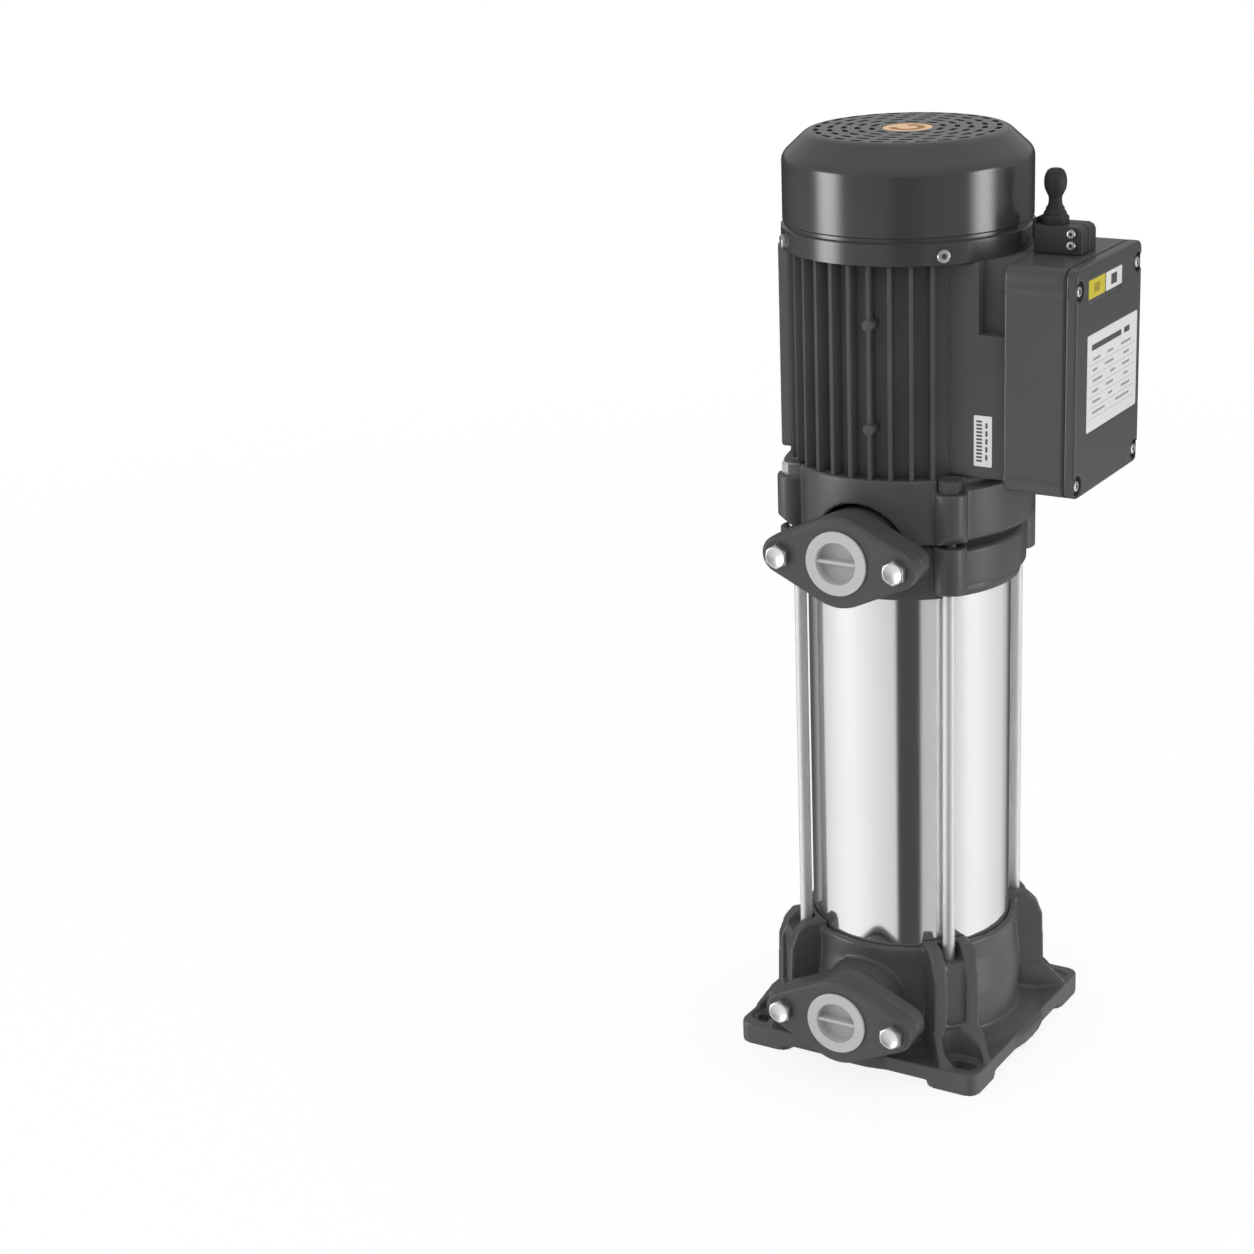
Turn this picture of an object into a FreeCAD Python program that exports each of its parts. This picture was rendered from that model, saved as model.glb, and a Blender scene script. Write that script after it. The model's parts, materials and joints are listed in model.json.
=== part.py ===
import FreeCAD, Part
import Sketcher
import math
import os

# Vertical multistage pump: a stack of impellers in a polished steel sleeve, clamped by four tie
# rods between a square cast base and a cast head, with a finned electric motor on top.
# The pump axis is +Z and the underside of the feet is z = 0. Both ports face -Y and the
# terminal box faces +X. All sizes are millimetres and degrees.

SIZES = {
    "Fits": {
        "slip_gap": 0.15,           # radial gap of still round parts that sit in each other
        "run_gap": 0.3,             # radial gap of turning parts in still ones
        "seat_gap": 0.05,           # axial gap where a turning part meets a still one
        "hole_gap": 0.3,            # radial gap of a bolt or rod in its through hole
    },
    "Heights along the axis": {
        "base_height": 84.0,        # floor to the lip round the sleeve
        "sleeve_show": 246.8,       # sleeve seen between base and head
        "head_height": 30.5,
        "bracket_height": 42.7,
        "housing_length": 134.0,
        "cover_height": 70.7,       # fan cover above the motor housing
        "suction_z": 45.7,
        "discharge_z": 356.9,
    },
    "Base casting": {
        "plate_half": 87.0,
        "plate_corner": 7.0,
        "plate_lift": 4.5,          # underside between the feet
        "plate_top": 15.0,
        "plate_round": 90.0,        # radius of the disc that bulges past the plate's sides
        "foot_size": 37.0,
        "foot_slot_pitch": 142.0,
        "foot_slot_half_width": 5.0,
        "foot_slot_length": 18.0,
        "foot_spot_rim": 4.5,
        "foot_spot_depth": 1.5,
        "wedge_top": 34.0,          # where the sloping foot meets the rod lug
        "wedge_half_width": 17.0,
        "base_body_radius": 72.5,
        "base_waist_radius": 70.0,
        "base_lip_radius": 70.6,
        "base_floor": 18.0,
        "base_chamber_radius": 55.0,
        "base_recess_radius": 44.0,
        "base_recess_depth": 6.0,
        "base_lug_reach": 91.0,
        "base_lug_half_width": 15.5,
        "base_lug_top": 88.0,
        "base_lug_slope": 18.0,
        "rod_floor": 78.5,          # bottom of the fork that takes a tie rod
        "fork_width": 13.0,
        "fork_depth": 5.0,
        "nut_well_radius": 9.5,
        "nut_well_depth": 14.0,
        "bump_x": -11.0,
        "bump_z": 67.0,
        "bump_radius": 4.5,
        "bump_reach": 73.5,
    },
    "Sleeve and tie rods": {
        "sleeve_radius": 65.8,
        "sleeve_wall": 0.8,
        "sleeve_insert": 8.0,
        "sleeve_gasket": 1.5,
        "sleeve_gasket_width": 2.6,
        "rod_circle": 74.0,
        "rod_radius": 4.0,
        "rod_engage": 12.0,
        "rod_tail": 3.0,
        "washer_radius": 8.0,
        "washer_thick": 1.6,
        "nut_across": 13.0,
        "nut_height": 6.5,
    },
    "Ports": {
        "port_radius": 15.0,
        "boss_radius": 27.5,
        "boss_flange_depth": 12.0,
        "suction_face": 111.3,      # front of the suction flange, ahead of the axis
        "discharge_face": 102.5,
        "flange_thick": 11.0,
        "flange_centre_radius": 29.5,
        "flange_ear_radius": 12.5,
        "flange_bolt_offset": 40.2,
        "flange_bevel": 1.5,
        "port_gasket": 1.5,
        "port_gasket_lip": 5.0,
        "port_thread_radius": 16.6,
        "plug_rim_radius": 20.6,
        "plug_rim_thick": 2.0,
        "plug_shank_length": 9.0,
        "plug_cup_radius": 13.6,
        "plug_cup_depth": 9.0,
        "plug_web_thick": 2.2,
        "plug_web_recess": 2.0,
        "port_bolt_radius": 4.0,
        "port_bolt_head": 14.0,
        "port_bolt_head_height": 5.3,
        "port_bolt_engage": 10.0,
    },
    "Head casting": {
        "head_radius": 71.5,
        "head_chamfer": 3.0,
        "head_hub_radius": 59.0,
        "head_hub_height": 20.7,    # hub above the head's joint face
        "head_chamber_radius": 50.0,
        "head_roof": 8.0,
        "head_lug_circle": 75.5,
        "head_lug_radius": 10.5,
        "head_panel_radius": 75.0,
        "panel_angle": 81.0,
        "panel_inset": 3.5,
    },
    "Side plugs": {
        "side_plug_radius": 5.0,
        "side_plug_engage": 9.0,
        "side_plug_head": 13.0,
        "side_plug_head_height": 5.0,
        "side_boss_radius": 9.5,
        "side_boss_reach": 79.0,
        "drain_z": 30.0,
        "vent_z": 346.0,
    },
    "Bracket": {
        "bracket_radius": 76.0,
        "bracket_wall": 10.0,
        "bracket_chamfer": 3.0,
        "bracket_plate": 10.0,
        "bracket_panel_radius": 80.5,
        "bracket_lug_circle": 77.0,
        "bracket_lug_radius": 10.5,
        "bracket_lug_drop": 8.0,    # lug top below the bracket's top face
        "bracket_lug_lift": 2.2,
        "bracket_lug_bevel": 6.0,
        "bracket_bolt_radius": 4.0,
        "bracket_bolt_engage": 13.0,
        "bracket_bolt_head": 13.0,
        "bracket_spot_radius": 8.2,
        "bracket_bolt_head_height": 8.0,
        "arch_gap": 3.0,            # arch of the bracket round the discharge boss
        "front_hub_radius": 31.0,
        "spigot_height": 4.0,
        "spigot_wall": 3.0,
    },
    "Stages": {
        "stage_count": 8,
        "inlet_height": 8.0,
        "inlet_plate_thick": 3.0,
        "inlet_window_radius": 9.0,
        "inlet_window_circle": 37.0,
        "inlet_window_count": 6,
        "inlet_rim": 7.0,
        "bush_wall": 4.0,
        "bush_length": 12.0,
        "bush_holder_wall": 4.0,
        "casing_radius": 62.3,
        "casing_wall": 1.2,
        "casing_floor": 2.0,
        "eye_radius": 21.0,
        "eye_wall": 1.2,
        "eye_lip": 0.8,
        "impeller_radius": 48.0,
        "shroud_thick": 1.2,
        "shroud_lift": 5.0,
        "blade_height": 7.0,
        "blade_thick": 1.5,
        "blade_lean": 12.0,
        "blade_count": 6,
        "hub_radius": 12.0,
        "hub_length": 16.0,
        "diffuser_lift": 17.5,
        "diffuser_plate": 1.8,
        "diffuser_radius": 53.0,
        "vane_thick": 2.0,
        "vane_inner": 24.0,
        "vane_count": 8,
    },
    "Shaft and seal": {
        "shaft_radius": 8.0,
        "shaft_tip": 48.0,
        "shaft_nut_height": 9.0,
        "shaft_nut_across": 22.0,
        "core_seat_radius": 13.0,
        "fan_seat_radius": 7.0,
        "fan_seat_length": 38.0,
        "seal_seat_wall": 5.0,
        "seal_seat_height": 6.0,
        "seal_ring_height": 8.0,
        "seal_ring_wall": 4.5,
        "seal_wire": 1.0,
        "seal_spring_turns": 4,
        "seal_spring_height": 13.0,
    },
    "Bearings": {
        "front_bore": 10.0,
        "front_outside": 23.5,
        "front_width": 14.0,
        "rear_bore": 8.5,
        "rear_outside": 20.0,
        "rear_width": 12.0,
        "ring_share": 0.28,         # ring thickness as a share of the bearing's section
        "ball_share": 0.58,         # ball diameter as a share of the bearing's section
        "ball_count": 8,
        "bearing_lip": 2.5,
    },
    "Motor": {
        "housing_bore": 60.3,
        "housing_root": 66.5,
        "fin_tip": 75.3,
        "fin_thick": 2.6,
        "fin_step": 10.0,
        "fin_first": 53.0,          # angle of the first fin from the terminal box side
        "fin_count": 11,
        "foot_pad_reach": 77.0,
        "foot_pad_half_width": 28.0,
        "fin_boss_radius": 3.4,
        "fin_boss_high": 501.0,
        "fin_boss_low": 436.0,
        "pedestal_half_width": 45.5,
        "pedestal_recess_height": 44.0,
        "pedestal_recess_depth": 9.0,
        "pedestal_recess_length": 19.0,
        "core_length": 90.0,
        "core_start": 21.0,
        "stator_bore": 35.0,
        "stator_slot_circle": 42.5,
        "stator_slot_radius": 3.4,
        "stator_slot_count": 24,
        "winding_inner": 37.5,
        "winding_outer": 55.0,
        "winding_height": 14.0,
        "rotor_ring_height": 9.0,
        "rotor_ring_wall": 12.0,
        "shield_plate": 6.0,
        "shield_rim_height": 11.0,
        "shield_rim_wall": 4.0,
        "shield_hub_wall": 6.0,
    },
    "Fan and cover": {
        "cover_radius": 78.0,
        "cover_skirt_radius": 79.0,
        "cover_wall": 1.5,
        "cover_face_radius": 62.5,
        "cover_shoulder_drop": 14.3,
        "cover_shoulder_round": 9.0,
        "skirt_height": 13.0,
        "bead_height": 4.0,
        "bead_depth": 0.9,
        "cover_screw_height": 5.6,
        "cover_screw_radius": 2.0,
        "cover_screw_head": 4.2,
        "cover_screw_head_height": 2.4,
        "cover_screw_length": 5.0,
        "cover_screw_turn": -49.0,
        "label_recess": 0.5,
        "label_radius": 16.0,
        "grille_ring_step": 8.6,
        "grille_ring_first": 22.0,
        "grille_slot_half_width": 1.7,
        "grille_slot_length": 9.0,
        "fan_hub_radius": 15.0,
        "fan_hub_height": 20.0,
        "fan_plate_radius": 60.0,
        "fan_plate_thick": 2.5,
        "fan_blade_height": 26.0,
        "fan_blade_thick": 2.2,
        "fan_blade_inner": 22.0,
        "fan_blade_count": 9,
        "fan_lift": 9.0,
    },
    "Terminal box": {
        "box_back": 87.8,
        "box_half_width": 51.4,
        "box_bottom": 398.8,
        "box_top": 539.0,
        "box_corner": 6.0,
        "box_depth": 38.2,
        "box_wall": 3.2,
        "box_floor": 4.0,
        "box_gasket": 1.0,
        "lid_thick": 7.0,
        "lid_bevel": 1.2,
        "lid_screw_inset": 5.4,
        "lid_screw_drop": 13.5,
        "lid_screw_rise": 8.0,
        "lid_screw_radius": 2.0,
        "lid_screw_head": 3.4,
        "lid_screw_head_height": 2.4,
        "lid_screw_length": 14.0,
        "lid_pocket_radius": 6.2,
        "lid_pocket_depth": 5.0,
        "lid_post_radius": 6.0,
        "plate_left": -34.0,
        "plate_right": 46.0,
        "plate_low": 436.0,
        "plate_high": 496.0,
        "tag_left": -35.0,
        "tag_right": 20.0,
        "tag_low": 514.5,
        "tag_high": 529.5,
        "wire_hole_radius": 14.0,
        "block_low": 452.0,
        "block_high": 512.0,
        "block_left": -40.0,
        "block_right": -12.0,
        "block_depth": 15.0,
        "stud_radius": 2.0,
        "stud_length": 8.0,
        "capacitor_radius": 14.5,
        "capacitor_low": 414.0,
        "capacitor_length": 82.0,
        "capacitor_y": 24.0,
        "clip_width": 12.0,
        "clip_wall": 1.5,
        "earth_z": 424.0,
        "earth_y": -26.0,
        "earth_radius": 2.5,
        "earth_head": 5.0,
    },
    "Cable entry": {
        "gland_x": 98.0,
        "gland_left": 9.1,
        "gland_right": 21.9,
        "gland_half_width": 11.5,
        "gland_height": 17.0,
        "gland_round": 4.0,
        "gland_bore": 7.5,
        "gland_split": 0.6,
        "gland_hook": 2.8,
        "gland_hook_rise": 4.0,
        "gland_hook_half_width": 7.0,
        "gland_screw_offset": 15.5,
        "gland_screw_low": 6.0,
        "gland_screw_pitch": 7.0,
        "gland_screw_radius": 1.6,
        "gland_screw_head": 2.9,
        "gland_screw_head_height": 2.0,
        "gland_screw_length": 17.0,
        "boot_flare_radius": 8.6,
        "boot_flare_height": 4.0,
        "boot_neck_radius": 4.1,
        "boot_neck_top": 14.5,
        "boot_knob_radius": 6.1,
        "boot_knob_top": 33.0,
        "boot_shank": 15.0,
    },
}

doc = FreeCAD.newDocument("MultistagePump")
sheet = doc.addObject("Spreadsheet::Sheet", "Sizes")


class Size:
    """A number together with the sheet expression that gives it."""

    def __init__(self, value, text):
        self.value = value
        self.text = text

    def __add__(self, other):
        return joined(self, "+", other)

    def __radd__(self, other):
        return joined(other, "+", self)

    def __sub__(self, other):
        return joined(self, "-", other)

    def __rsub__(self, other):
        return joined(other, "-", self)

    def __mul__(self, other):
        return joined(self, "*", other)

    def __rmul__(self, other):
        return joined(other, "*", self)

    def __truediv__(self, other):
        return joined(self, "/", other)

    def __neg__(self):
        return joined(0, "-", self)


def as_size(number):
    if isinstance(number, Size):
        return number
    return Size(float(number), "(%s)" % repr(number))


def joined(left, sign, right):
    left = as_size(left)
    right = as_size(right)
    values = {
        "+": left.value + right.value,
        "-": left.value - right.value,
        "*": left.value * right.value,
    }
    value = left.value / right.value if sign == "/" else values[sign]
    return Size(value, "(%s %s %s)" % (left.text, sign, right.text))


def cosine(angle):
    angle = as_size(angle)
    return Size(math.cos(math.radians(angle.value)), "cos(%s)" % angle.text)


def sine(angle):
    angle = as_size(angle)
    return Size(math.sin(math.radians(angle.value)), "sin(%s)" % angle.text)


class Named:
    """The sheet's sizes by name."""


S = Named()


def fill_sheet():
    row = 1
    for heading, sizes in SIZES.items():
        sheet.set("A%d" % row, heading)
        row += 1
        for name, value in sizes.items():
            sheet.set("A%d" % row, name)
            sheet.set("B%d" % row, str(value))
            sheet.setAlias("B%d" % row, name)
            setattr(S, name, Size(float(value), "Sizes." + name))
            row += 1
    doc.recompute()


fill_sheet()


# Levels and places that several pieces share
S.head_bottom = S.base_height + S.sleeve_show
S.head_top = S.head_bottom + S.head_height
S.bracket_top = S.head_top + S.bracket_height
S.housing_top = S.bracket_top + S.housing_length
S.cover_top = S.housing_top + S.cover_height
S.lower_step = S.base_height - S.sleeve_insert - S.sleeve_gasket
S.upper_step = S.head_bottom + S.sleeve_insert + S.sleeve_gasket
S.stack_bottom = S.lower_step + S.inlet_height
S.stage_pitch = (S.upper_step - S.stack_bottom) / S.stage_count
S.spacer_radius = S.hub_radius
S.hub_bottom = S.stack_bottom + S.eye_lip
S.front_bearing_bottom = S.bracket_top - S.front_width
S.rear_bearing_top = S.housing_top + S.shield_plate - S.bearing_lip
S.rear_bearing_bottom = S.rear_bearing_top - S.rear_width
S.core_bottom = S.bracket_top + S.core_start
S.core_top = S.core_bottom + S.core_length
S.head_hub_top = S.head_top + S.head_hub_height
S.roof_bottom = S.head_hub_top - S.head_roof
S.seal_seat_bottom = S.roof_bottom - S.seal_seat_height + S.head_roof / 2
S.seal_ring_bottom = S.seal_seat_bottom - S.seat_gap - S.seal_ring_height
S.spring_bottom = S.seal_ring_bottom - S.seal_spring_height
S.box_front = S.box_back + S.box_depth
S.lid_back = S.box_front + S.box_gasket
S.lid_front = S.lid_back + S.lid_thick
S.diagonal = as_size(45)
S.boss_face_suction = S.suction_face - S.flange_thick - S.port_gasket
S.boss_face_discharge = S.discharge_face - S.flange_thick - S.port_gasket


# Helpers for bodies, sketches and features

def bind(thing, path, size):
    thing.setExpression(path, as_size(size).text)


def body(label):
    made = doc.addObject("PartDesign::Body", label)
    made.Label = label
    made.AllowCompound = True
    return made


def origin_part(owner, role):
    return [part for part in owner.Origin.OriginFeatures if part.Role == role][0]


def sketch(owner, plane, lift=0, turn=None):
    """A sketch on one of the body's own planes, lifted along its normal or turned about Z."""
    made = owner.newObject("Sketcher::SketchObject", owner.Label + "_sketch")
    made.AttachmentSupport = [(origin_part(owner, plane + "_Plane"), "")]
    made.MapMode = "FlatFace"
    if turn is None:
        bind(made, "AttachmentOffset.Base.z", lift)
        return made
    about_z = FreeCAD.Rotation(FreeCAD.Vector(0, 1, 0), as_size(turn).value)
    made.AttachmentOffset = FreeCAD.Placement(FreeCAD.Vector(0, 0, 0), about_z)
    bind(made, "AttachmentOffset.Rotation.Angle", turn)
    bind(made, "AttachmentOffset.Base.x", lift * sine(turn))
    bind(made, "AttachmentOffset.Base.z", lift * cosine(turn))
    return made


def held(drawing, kind, first, second, size):
    """One sketch dimension, tied to the sheet."""
    size = as_size(size)
    index = drawing.addConstraint(Sketcher.Constraint(kind, *first, *second, size.value))
    if "Sizes." in size.text:
        drawing.setExpression("Constraints[%d]" % index, size.text)


def pin(drawing, edge, end, x, y):
    held(drawing, "DistanceX", (-1, 1), (edge, end), x)
    held(drawing, "DistanceY", (-1, 1), (edge, end), y)


def point(x, y):
    return FreeCAD.Vector(as_size(x).value, as_size(y).value, 0)


def outline(drawing, corners):
    """A closed line through the corners, each one held by its two distances."""
    edges = []
    for here, after in zip(corners, corners[1:] + corners[:1]):
        edges.append(drawing.addGeometry(Part.LineSegment(point(*here), point(*after)), False))
    for index, edge in enumerate(edges):
        before = edges[index - 1]
        drawing.addConstraint(Sketcher.Constraint("Coincident", before, 2, edge, 1))
        pin(drawing, edge, 1, *corners[index])
    return drawing


def circle(drawing, x, y, radius):
    shape = Part.Circle(point(x, y), FreeCAD.Vector(0, 0, 1), as_size(radius).value)
    edge = drawing.addGeometry(shape, False)
    held(drawing, "Radius", (edge,), (), radius)
    pin(drawing, edge, 3, x, y)
    return drawing


def loop(drawing, circles):
    """A tight loop round circles (x, y, radius), listed anticlockwise: arcs joined by tangents."""
    leave = []
    for here, after in zip(circles, circles[1:] + circles[:1]):
        gap = point(*after[:2]) - point(*here[:2])
        lean = math.acos((as_size(here[2]).value - as_size(after[2]).value) / gap.Length)
        leave.append(math.atan2(gap.y, gap.x) - lean)
    arcs = []
    for index, (x, y, radius) in enumerate(circles):
        start = leave[index - 1]
        stop = leave[index]
        while stop <= start:
            stop += 2 * math.pi
        round_part = Part.Circle(point(x, y), FreeCAD.Vector(0, 0, 1), as_size(radius).value)
        arcs.append(drawing.addGeometry(Part.ArcOfCircle(round_part, start, stop), False))
    for index, arc in enumerate(arcs):
        after = arcs[(index + 1) % len(arcs)]
        start = drawing.Geometry[arc].EndPoint
        stop = drawing.Geometry[after].StartPoint
        line = drawing.addGeometry(Part.LineSegment(start, stop), False)
        drawing.addConstraint(Sketcher.Constraint("Tangent", arc, 2, line, 1))
        drawing.addConstraint(Sketcher.Constraint("Tangent", line, 2, after, 1))
    for arc, (x, y, radius) in zip(arcs, circles):
        pin(drawing, arc, 3, x, y)
        held(drawing, "Radius", (arc,), (), radius)
    return drawing


def rounded_box(drawing, left, right, low, high, corner):
    near = left + corner
    far = right - corner
    under = low + corner
    over = high - corner
    circles = [(far, under), (far, over), (near, over), (near, under)]
    return loop(drawing, [(x, y, corner) for x, y in circles])


def hexagon(drawing, x, y, across):
    reach = across / 2 / cosine(30)
    corners = []
    for index in range(6):
        turn = 30 + 60 * index
        corners.append((x + reach * cosine(turn), y + reach * sine(turn)))
    return outline(drawing, corners)


def feature(owner, kind, drawing, name):
    made = owner.newObject("PartDesign::" + kind, owner.Label + "_" + name)
    made.Profile = drawing
    drawing.Visibility = False
    return made


def pad(drawing, length, back=False, middle=False):
    made = feature(drawing.getParentGeoFeatureGroup(), "Pad", drawing, "pad")
    bind(made, "Length", length)
    made.Reversed = back
    if middle:
        made.SideType = "Symmetric"
    return made


def pocket(drawing, length, back=False, middle=False):
    made = feature(drawing.getParentGeoFeatureGroup(), "Pocket", drawing, "pocket")
    bind(made, "Length", length)
    made.Reversed = back
    if middle:
        made.SideType = "Symmetric"
    return made


def turned(drawing, angle=360, kind="Revolution"):
    """The sketch turned about the pump's axis; a part turn is centred on the sketch."""
    made = feature(drawing.getParentGeoFeatureGroup(), kind, drawing, kind.lower())
    made.ReferenceAxis = (drawing, ["V_Axis"])
    bind(made, "Angle", angle)
    made.Midplane = as_size(angle).value < 360
    return made


def lathe(owner, corners):
    """A full ring or disc from its half section (radius, height)."""
    return turned(outline(sketch(owner, "XZ"), corners))


def bore(owner, corners):
    """A full turn cut from its half section (radius, height)."""
    return turned(outline(sketch(owner, "XZ"), corners), kind="Groove")


def around(owner, count, features=None):
    """Copies about the pump's axis: of the named features, or of the whole body."""
    made = owner.newObject("PartDesign::PolarPattern", owner.Label + "_polar")
    if features:
        made.Originals = features
    else:
        made.TransformMode = "Whole shape"
    made.Axis = (origin_part(owner, "Z_Axis"), [""])
    made.Angle = 360
    bind(made, "Occurrences", count)
    owner.Tip = made
    return made


def in_line(owner, axis, count, pitch, features=None):
    """Copies along one of the body's own axes."""
    made = owner.newObject("PartDesign::LinearPattern", owner.Label + "_row")
    if features:
        made.Originals = features
    else:
        made.TransformMode = "Whole shape"
    made.Direction = (origin_part(owner, axis + "_Axis"), [""])
    made.Mode = "Spacing"
    bind(made, "Offset", pitch)
    bind(made, "Occurrences", count)
    owner.Tip = made
    return made


def rounded(owner, radius, pick, kind="Fillet"):
    """A fillet or chamfer on the edges of the body so far that pick accepts."""
    doc.recompute()
    base = owner.Tip
    edges = [edge for edge in enumerate(base.Shape.Edges, 1) if pick(edge[1])]
    if not edges:
        raise RuntimeError("no edge to round on " + owner.Label)
    made = owner.newObject("PartDesign::" + kind, owner.Label + "_" + kind.lower())
    made.Base = (base, ["Edge%d" % index for index, edge in edges])
    bind(made, "Radius" if kind == "Fillet" else "Size", radius)
    return made


def ring_edge(radius, height):
    """Accepts full circles about the pump's axis of one radius at one height."""
    def pick(edge):
        if edge.Curve.TypeId != "Part::GeomCircle":
            return False
        middle = edge.Curve.Center
        centred = math.hypot(middle.x, middle.y) < 0.01 and abs(middle.z - height.value) < 0.01
        return centred and abs(edge.Curve.Radius - radius.value) < 0.01
    return pick


def polar(radius, angle):
    return radius * cosine(angle), radius * sine(angle)


# Base casting and what seats in it

def make_pump_base():
    made = body("pump_base")
    lathe(made, [
        (0, S.plate_lift),
        (S.plate_round, S.plate_lift),
        (S.plate_round, S.plate_top - 2),
        (S.plate_round - 3, S.plate_top),
        (S.base_body_radius, S.plate_top + 4),
        (S.base_body_radius, S.suction_z),
        (S.base_waist_radius, S.base_height - 14),
        (S.base_lip_radius, S.base_height),
        (0, S.base_height),
    ])
    plate = sketch(made, "XY", S.plate_lift)
    half = S.plate_half
    rounded_box(plate, -half, half, -half, half, S.plate_corner)
    pad(plate, S.plate_top - S.plate_lift)

    foot = sketch(made, "XY")
    rounded_box(foot, half - S.foot_size, half, half - S.foot_size, half, S.plate_corner)
    foot_pad = pad(foot, S.plate_top)
    lug = sketch(made, "XZ", turn=S.diagonal)
    outline(lug, [
        (S.base_chamber_radius + 2, S.plate_lift),
        (S.base_lug_reach, S.plate_lift),
        (S.base_lug_reach - 1.5, S.base_lug_top - S.base_lug_slope),
        (S.base_lug_reach - 6, S.base_lug_top - S.base_lug_slope / 3),
        (S.base_lug_reach - 12, S.base_lug_top),
        (S.base_chamber_radius + 2, S.base_lug_top),
    ])
    lug_pad = pad(lug, 2 * S.base_lug_half_width, middle=True)
    wedge = sketch(made, "XZ", turn=S.diagonal)
    corner_reach = S.plate_half / cosine(45) - S.wedge_half_width
    outline(wedge, [
        (S.base_body_radius, S.plate_lift),
        (corner_reach, S.plate_lift),
        (corner_reach, S.plate_top + 2),
        (S.base_lug_reach + 3, S.wedge_top - 3),
        (S.base_lug_reach - 2, S.wedge_top),
        (S.base_body_radius, S.wedge_top),
    ])
    wedge_pad = pad(wedge, 2 * S.wedge_half_width, middle=True)
    around(made, 4, [foot_pad, lug_pad, wedge_pad])

    port_boss(made, S.suction_z, S.boss_face_suction)
    bump = sketch(made, "XZ", S.base_chamber_radius)
    circle(bump, S.bump_x, S.bump_z, S.bump_radius)
    pad(bump, S.bump_reach - S.base_chamber_radius)
    side_boss(made, S.drain_z, S.base_chamber_radius)

    bore(made, [
        (0, S.base_floor),
        (S.base_chamber_radius, S.base_floor),
        (S.base_chamber_radius, S.lower_step),
        (S.sleeve_radius + S.slip_gap, S.lower_step),
        (S.sleeve_radius + S.slip_gap, S.base_lug_top + 1),
        (0, S.base_lug_top + 1),
    ])
    recess = sketch(made, "XY", S.plate_lift)
    circle(recess, 0, 0, S.base_recess_radius)
    pocket(recess, S.base_recess_depth, back=True)
    port_holes(made, S.suction_z, S.boss_face_suction, S.base_chamber_radius)
    side_hole(made, S.drain_z, S.base_chamber_radius)

    fork = sketch(made, "XZ", turn=S.diagonal)
    back = S.rod_circle - S.rod_radius - 2 * S.hole_gap
    outer = S.base_lug_reach + 2
    outline(fork, [
        (back, S.rod_floor),
        (S.base_lug_reach - S.fork_depth, S.rod_floor),
        (S.base_lug_reach - S.fork_depth, S.wedge_top + 3),
        (outer, S.wedge_top + 3),
        (outer, S.base_lug_top + 1),
        (back, S.base_lug_top + 1),
    ])
    fork_cut = pocket(fork, S.fork_width, middle=True)
    hole = sketch(made, "XY", S.rod_floor)
    circle(hole, *polar(S.rod_circle, S.diagonal), S.rod_radius + S.hole_gap)
    hole_cut = pocket(hole, S.rod_floor)
    well = sketch(made, "XY")
    circle(well, *polar(S.rod_circle, S.diagonal), S.nut_well_radius)
    well_cut = pocket(well, S.nut_well_depth, back=True)
    around(made, 4, [fork_cut, hole_cut, well_cut])

    spot = sketch(made, "XY", S.wedge_top + 1)
    foot_slots(spot, S.foot_spot_rim)
    pocket(spot, S.wedge_top + 1 - S.plate_top + S.foot_spot_depth)
    slots = sketch(made, "XY", S.plate_top)
    foot_slots(slots, 0)
    pocket(slots, S.plate_top)


def foot_slots(drawing, rim):
    """Four slots along X, or the larger spot faces round them."""
    place = S.foot_slot_pitch / 2
    radius = S.foot_slot_half_width + rim
    reach = S.foot_slot_length / 2 - S.foot_slot_half_width
    for x in (place, -place):
        for y in (place, -place):
            loop(drawing, [(x + reach, y, radius), (x - reach, y, radius)])


def oval(drawing, height, shrink=0):
    """The two-bolt flange outline, about a port at the given height."""
    ear = S.flange_ear_radius - shrink
    middle = S.flange_centre_radius - shrink
    offset = S.flange_bolt_offset
    right = (offset, height, ear)
    left = (-offset, height, ear)
    centre = (0, height, middle)
    loop(drawing, [right, centre, left, centre])


def port_boss(owner, height, face):
    """Round boss of a port, with an oval pad that takes the flange bolts."""
    tube = sketch(owner, "XZ", face)
    circle(tube, 0, height, S.boss_radius)
    pad(tube, face - S.head_chamber_radius, back=True)
    seat = sketch(owner, "XZ", face)
    oval(seat, height, 1)
    pad(seat, S.boss_flange_depth, back=True)


def port_holes(owner, height, face, chamber_radius):
    """Water passage from the boss to the chamber, and the two blind bolt holes."""
    passage = sketch(owner, "XZ", face)
    circle(passage, 0, height, S.port_radius)
    pocket(passage, face - chamber_radius + 8)
    holes = sketch(owner, "XZ", face)
    for x in (S.flange_bolt_offset, -S.flange_bolt_offset):
        circle(holes, x, height, S.port_bolt_radius + S.slip_gap)
    pocket(holes, S.port_bolt_engage + 1)


def side_boss(owner, height, inner):
    boss = sketch(owner, "XZ", -S.side_boss_reach)
    circle(boss, 0, height, S.side_boss_radius)
    pad(boss, S.side_boss_reach - inner)


def side_hole(owner, height, inner):
    hole = sketch(owner, "XZ", -S.side_boss_reach)
    circle(hole, 0, height, S.side_plug_radius + S.slip_gap)
    pocket(hole, S.side_boss_reach - inner + 8, back=True)


def make_sleeve():
    made = body("outer_sleeve")
    low = S.lower_step + S.sleeve_gasket
    high = S.upper_step - S.sleeve_gasket
    inner = S.sleeve_radius - S.sleeve_wall
    lathe(made, [(inner, low), (S.sleeve_radius, low), (S.sleeve_radius, high), (inner, high)])

    rings = body("sleeve_gaskets")
    low = S.lower_step
    high = S.lower_step + S.sleeve_gasket
    inner = S.sleeve_radius - S.sleeve_gasket_width
    lathe(rings, [(inner, low), (S.sleeve_radius, low), (S.sleeve_radius, high), (inner, high)])
    in_line(rings, "Z", 2, S.upper_step - S.sleeve_gasket - S.lower_step)


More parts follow.
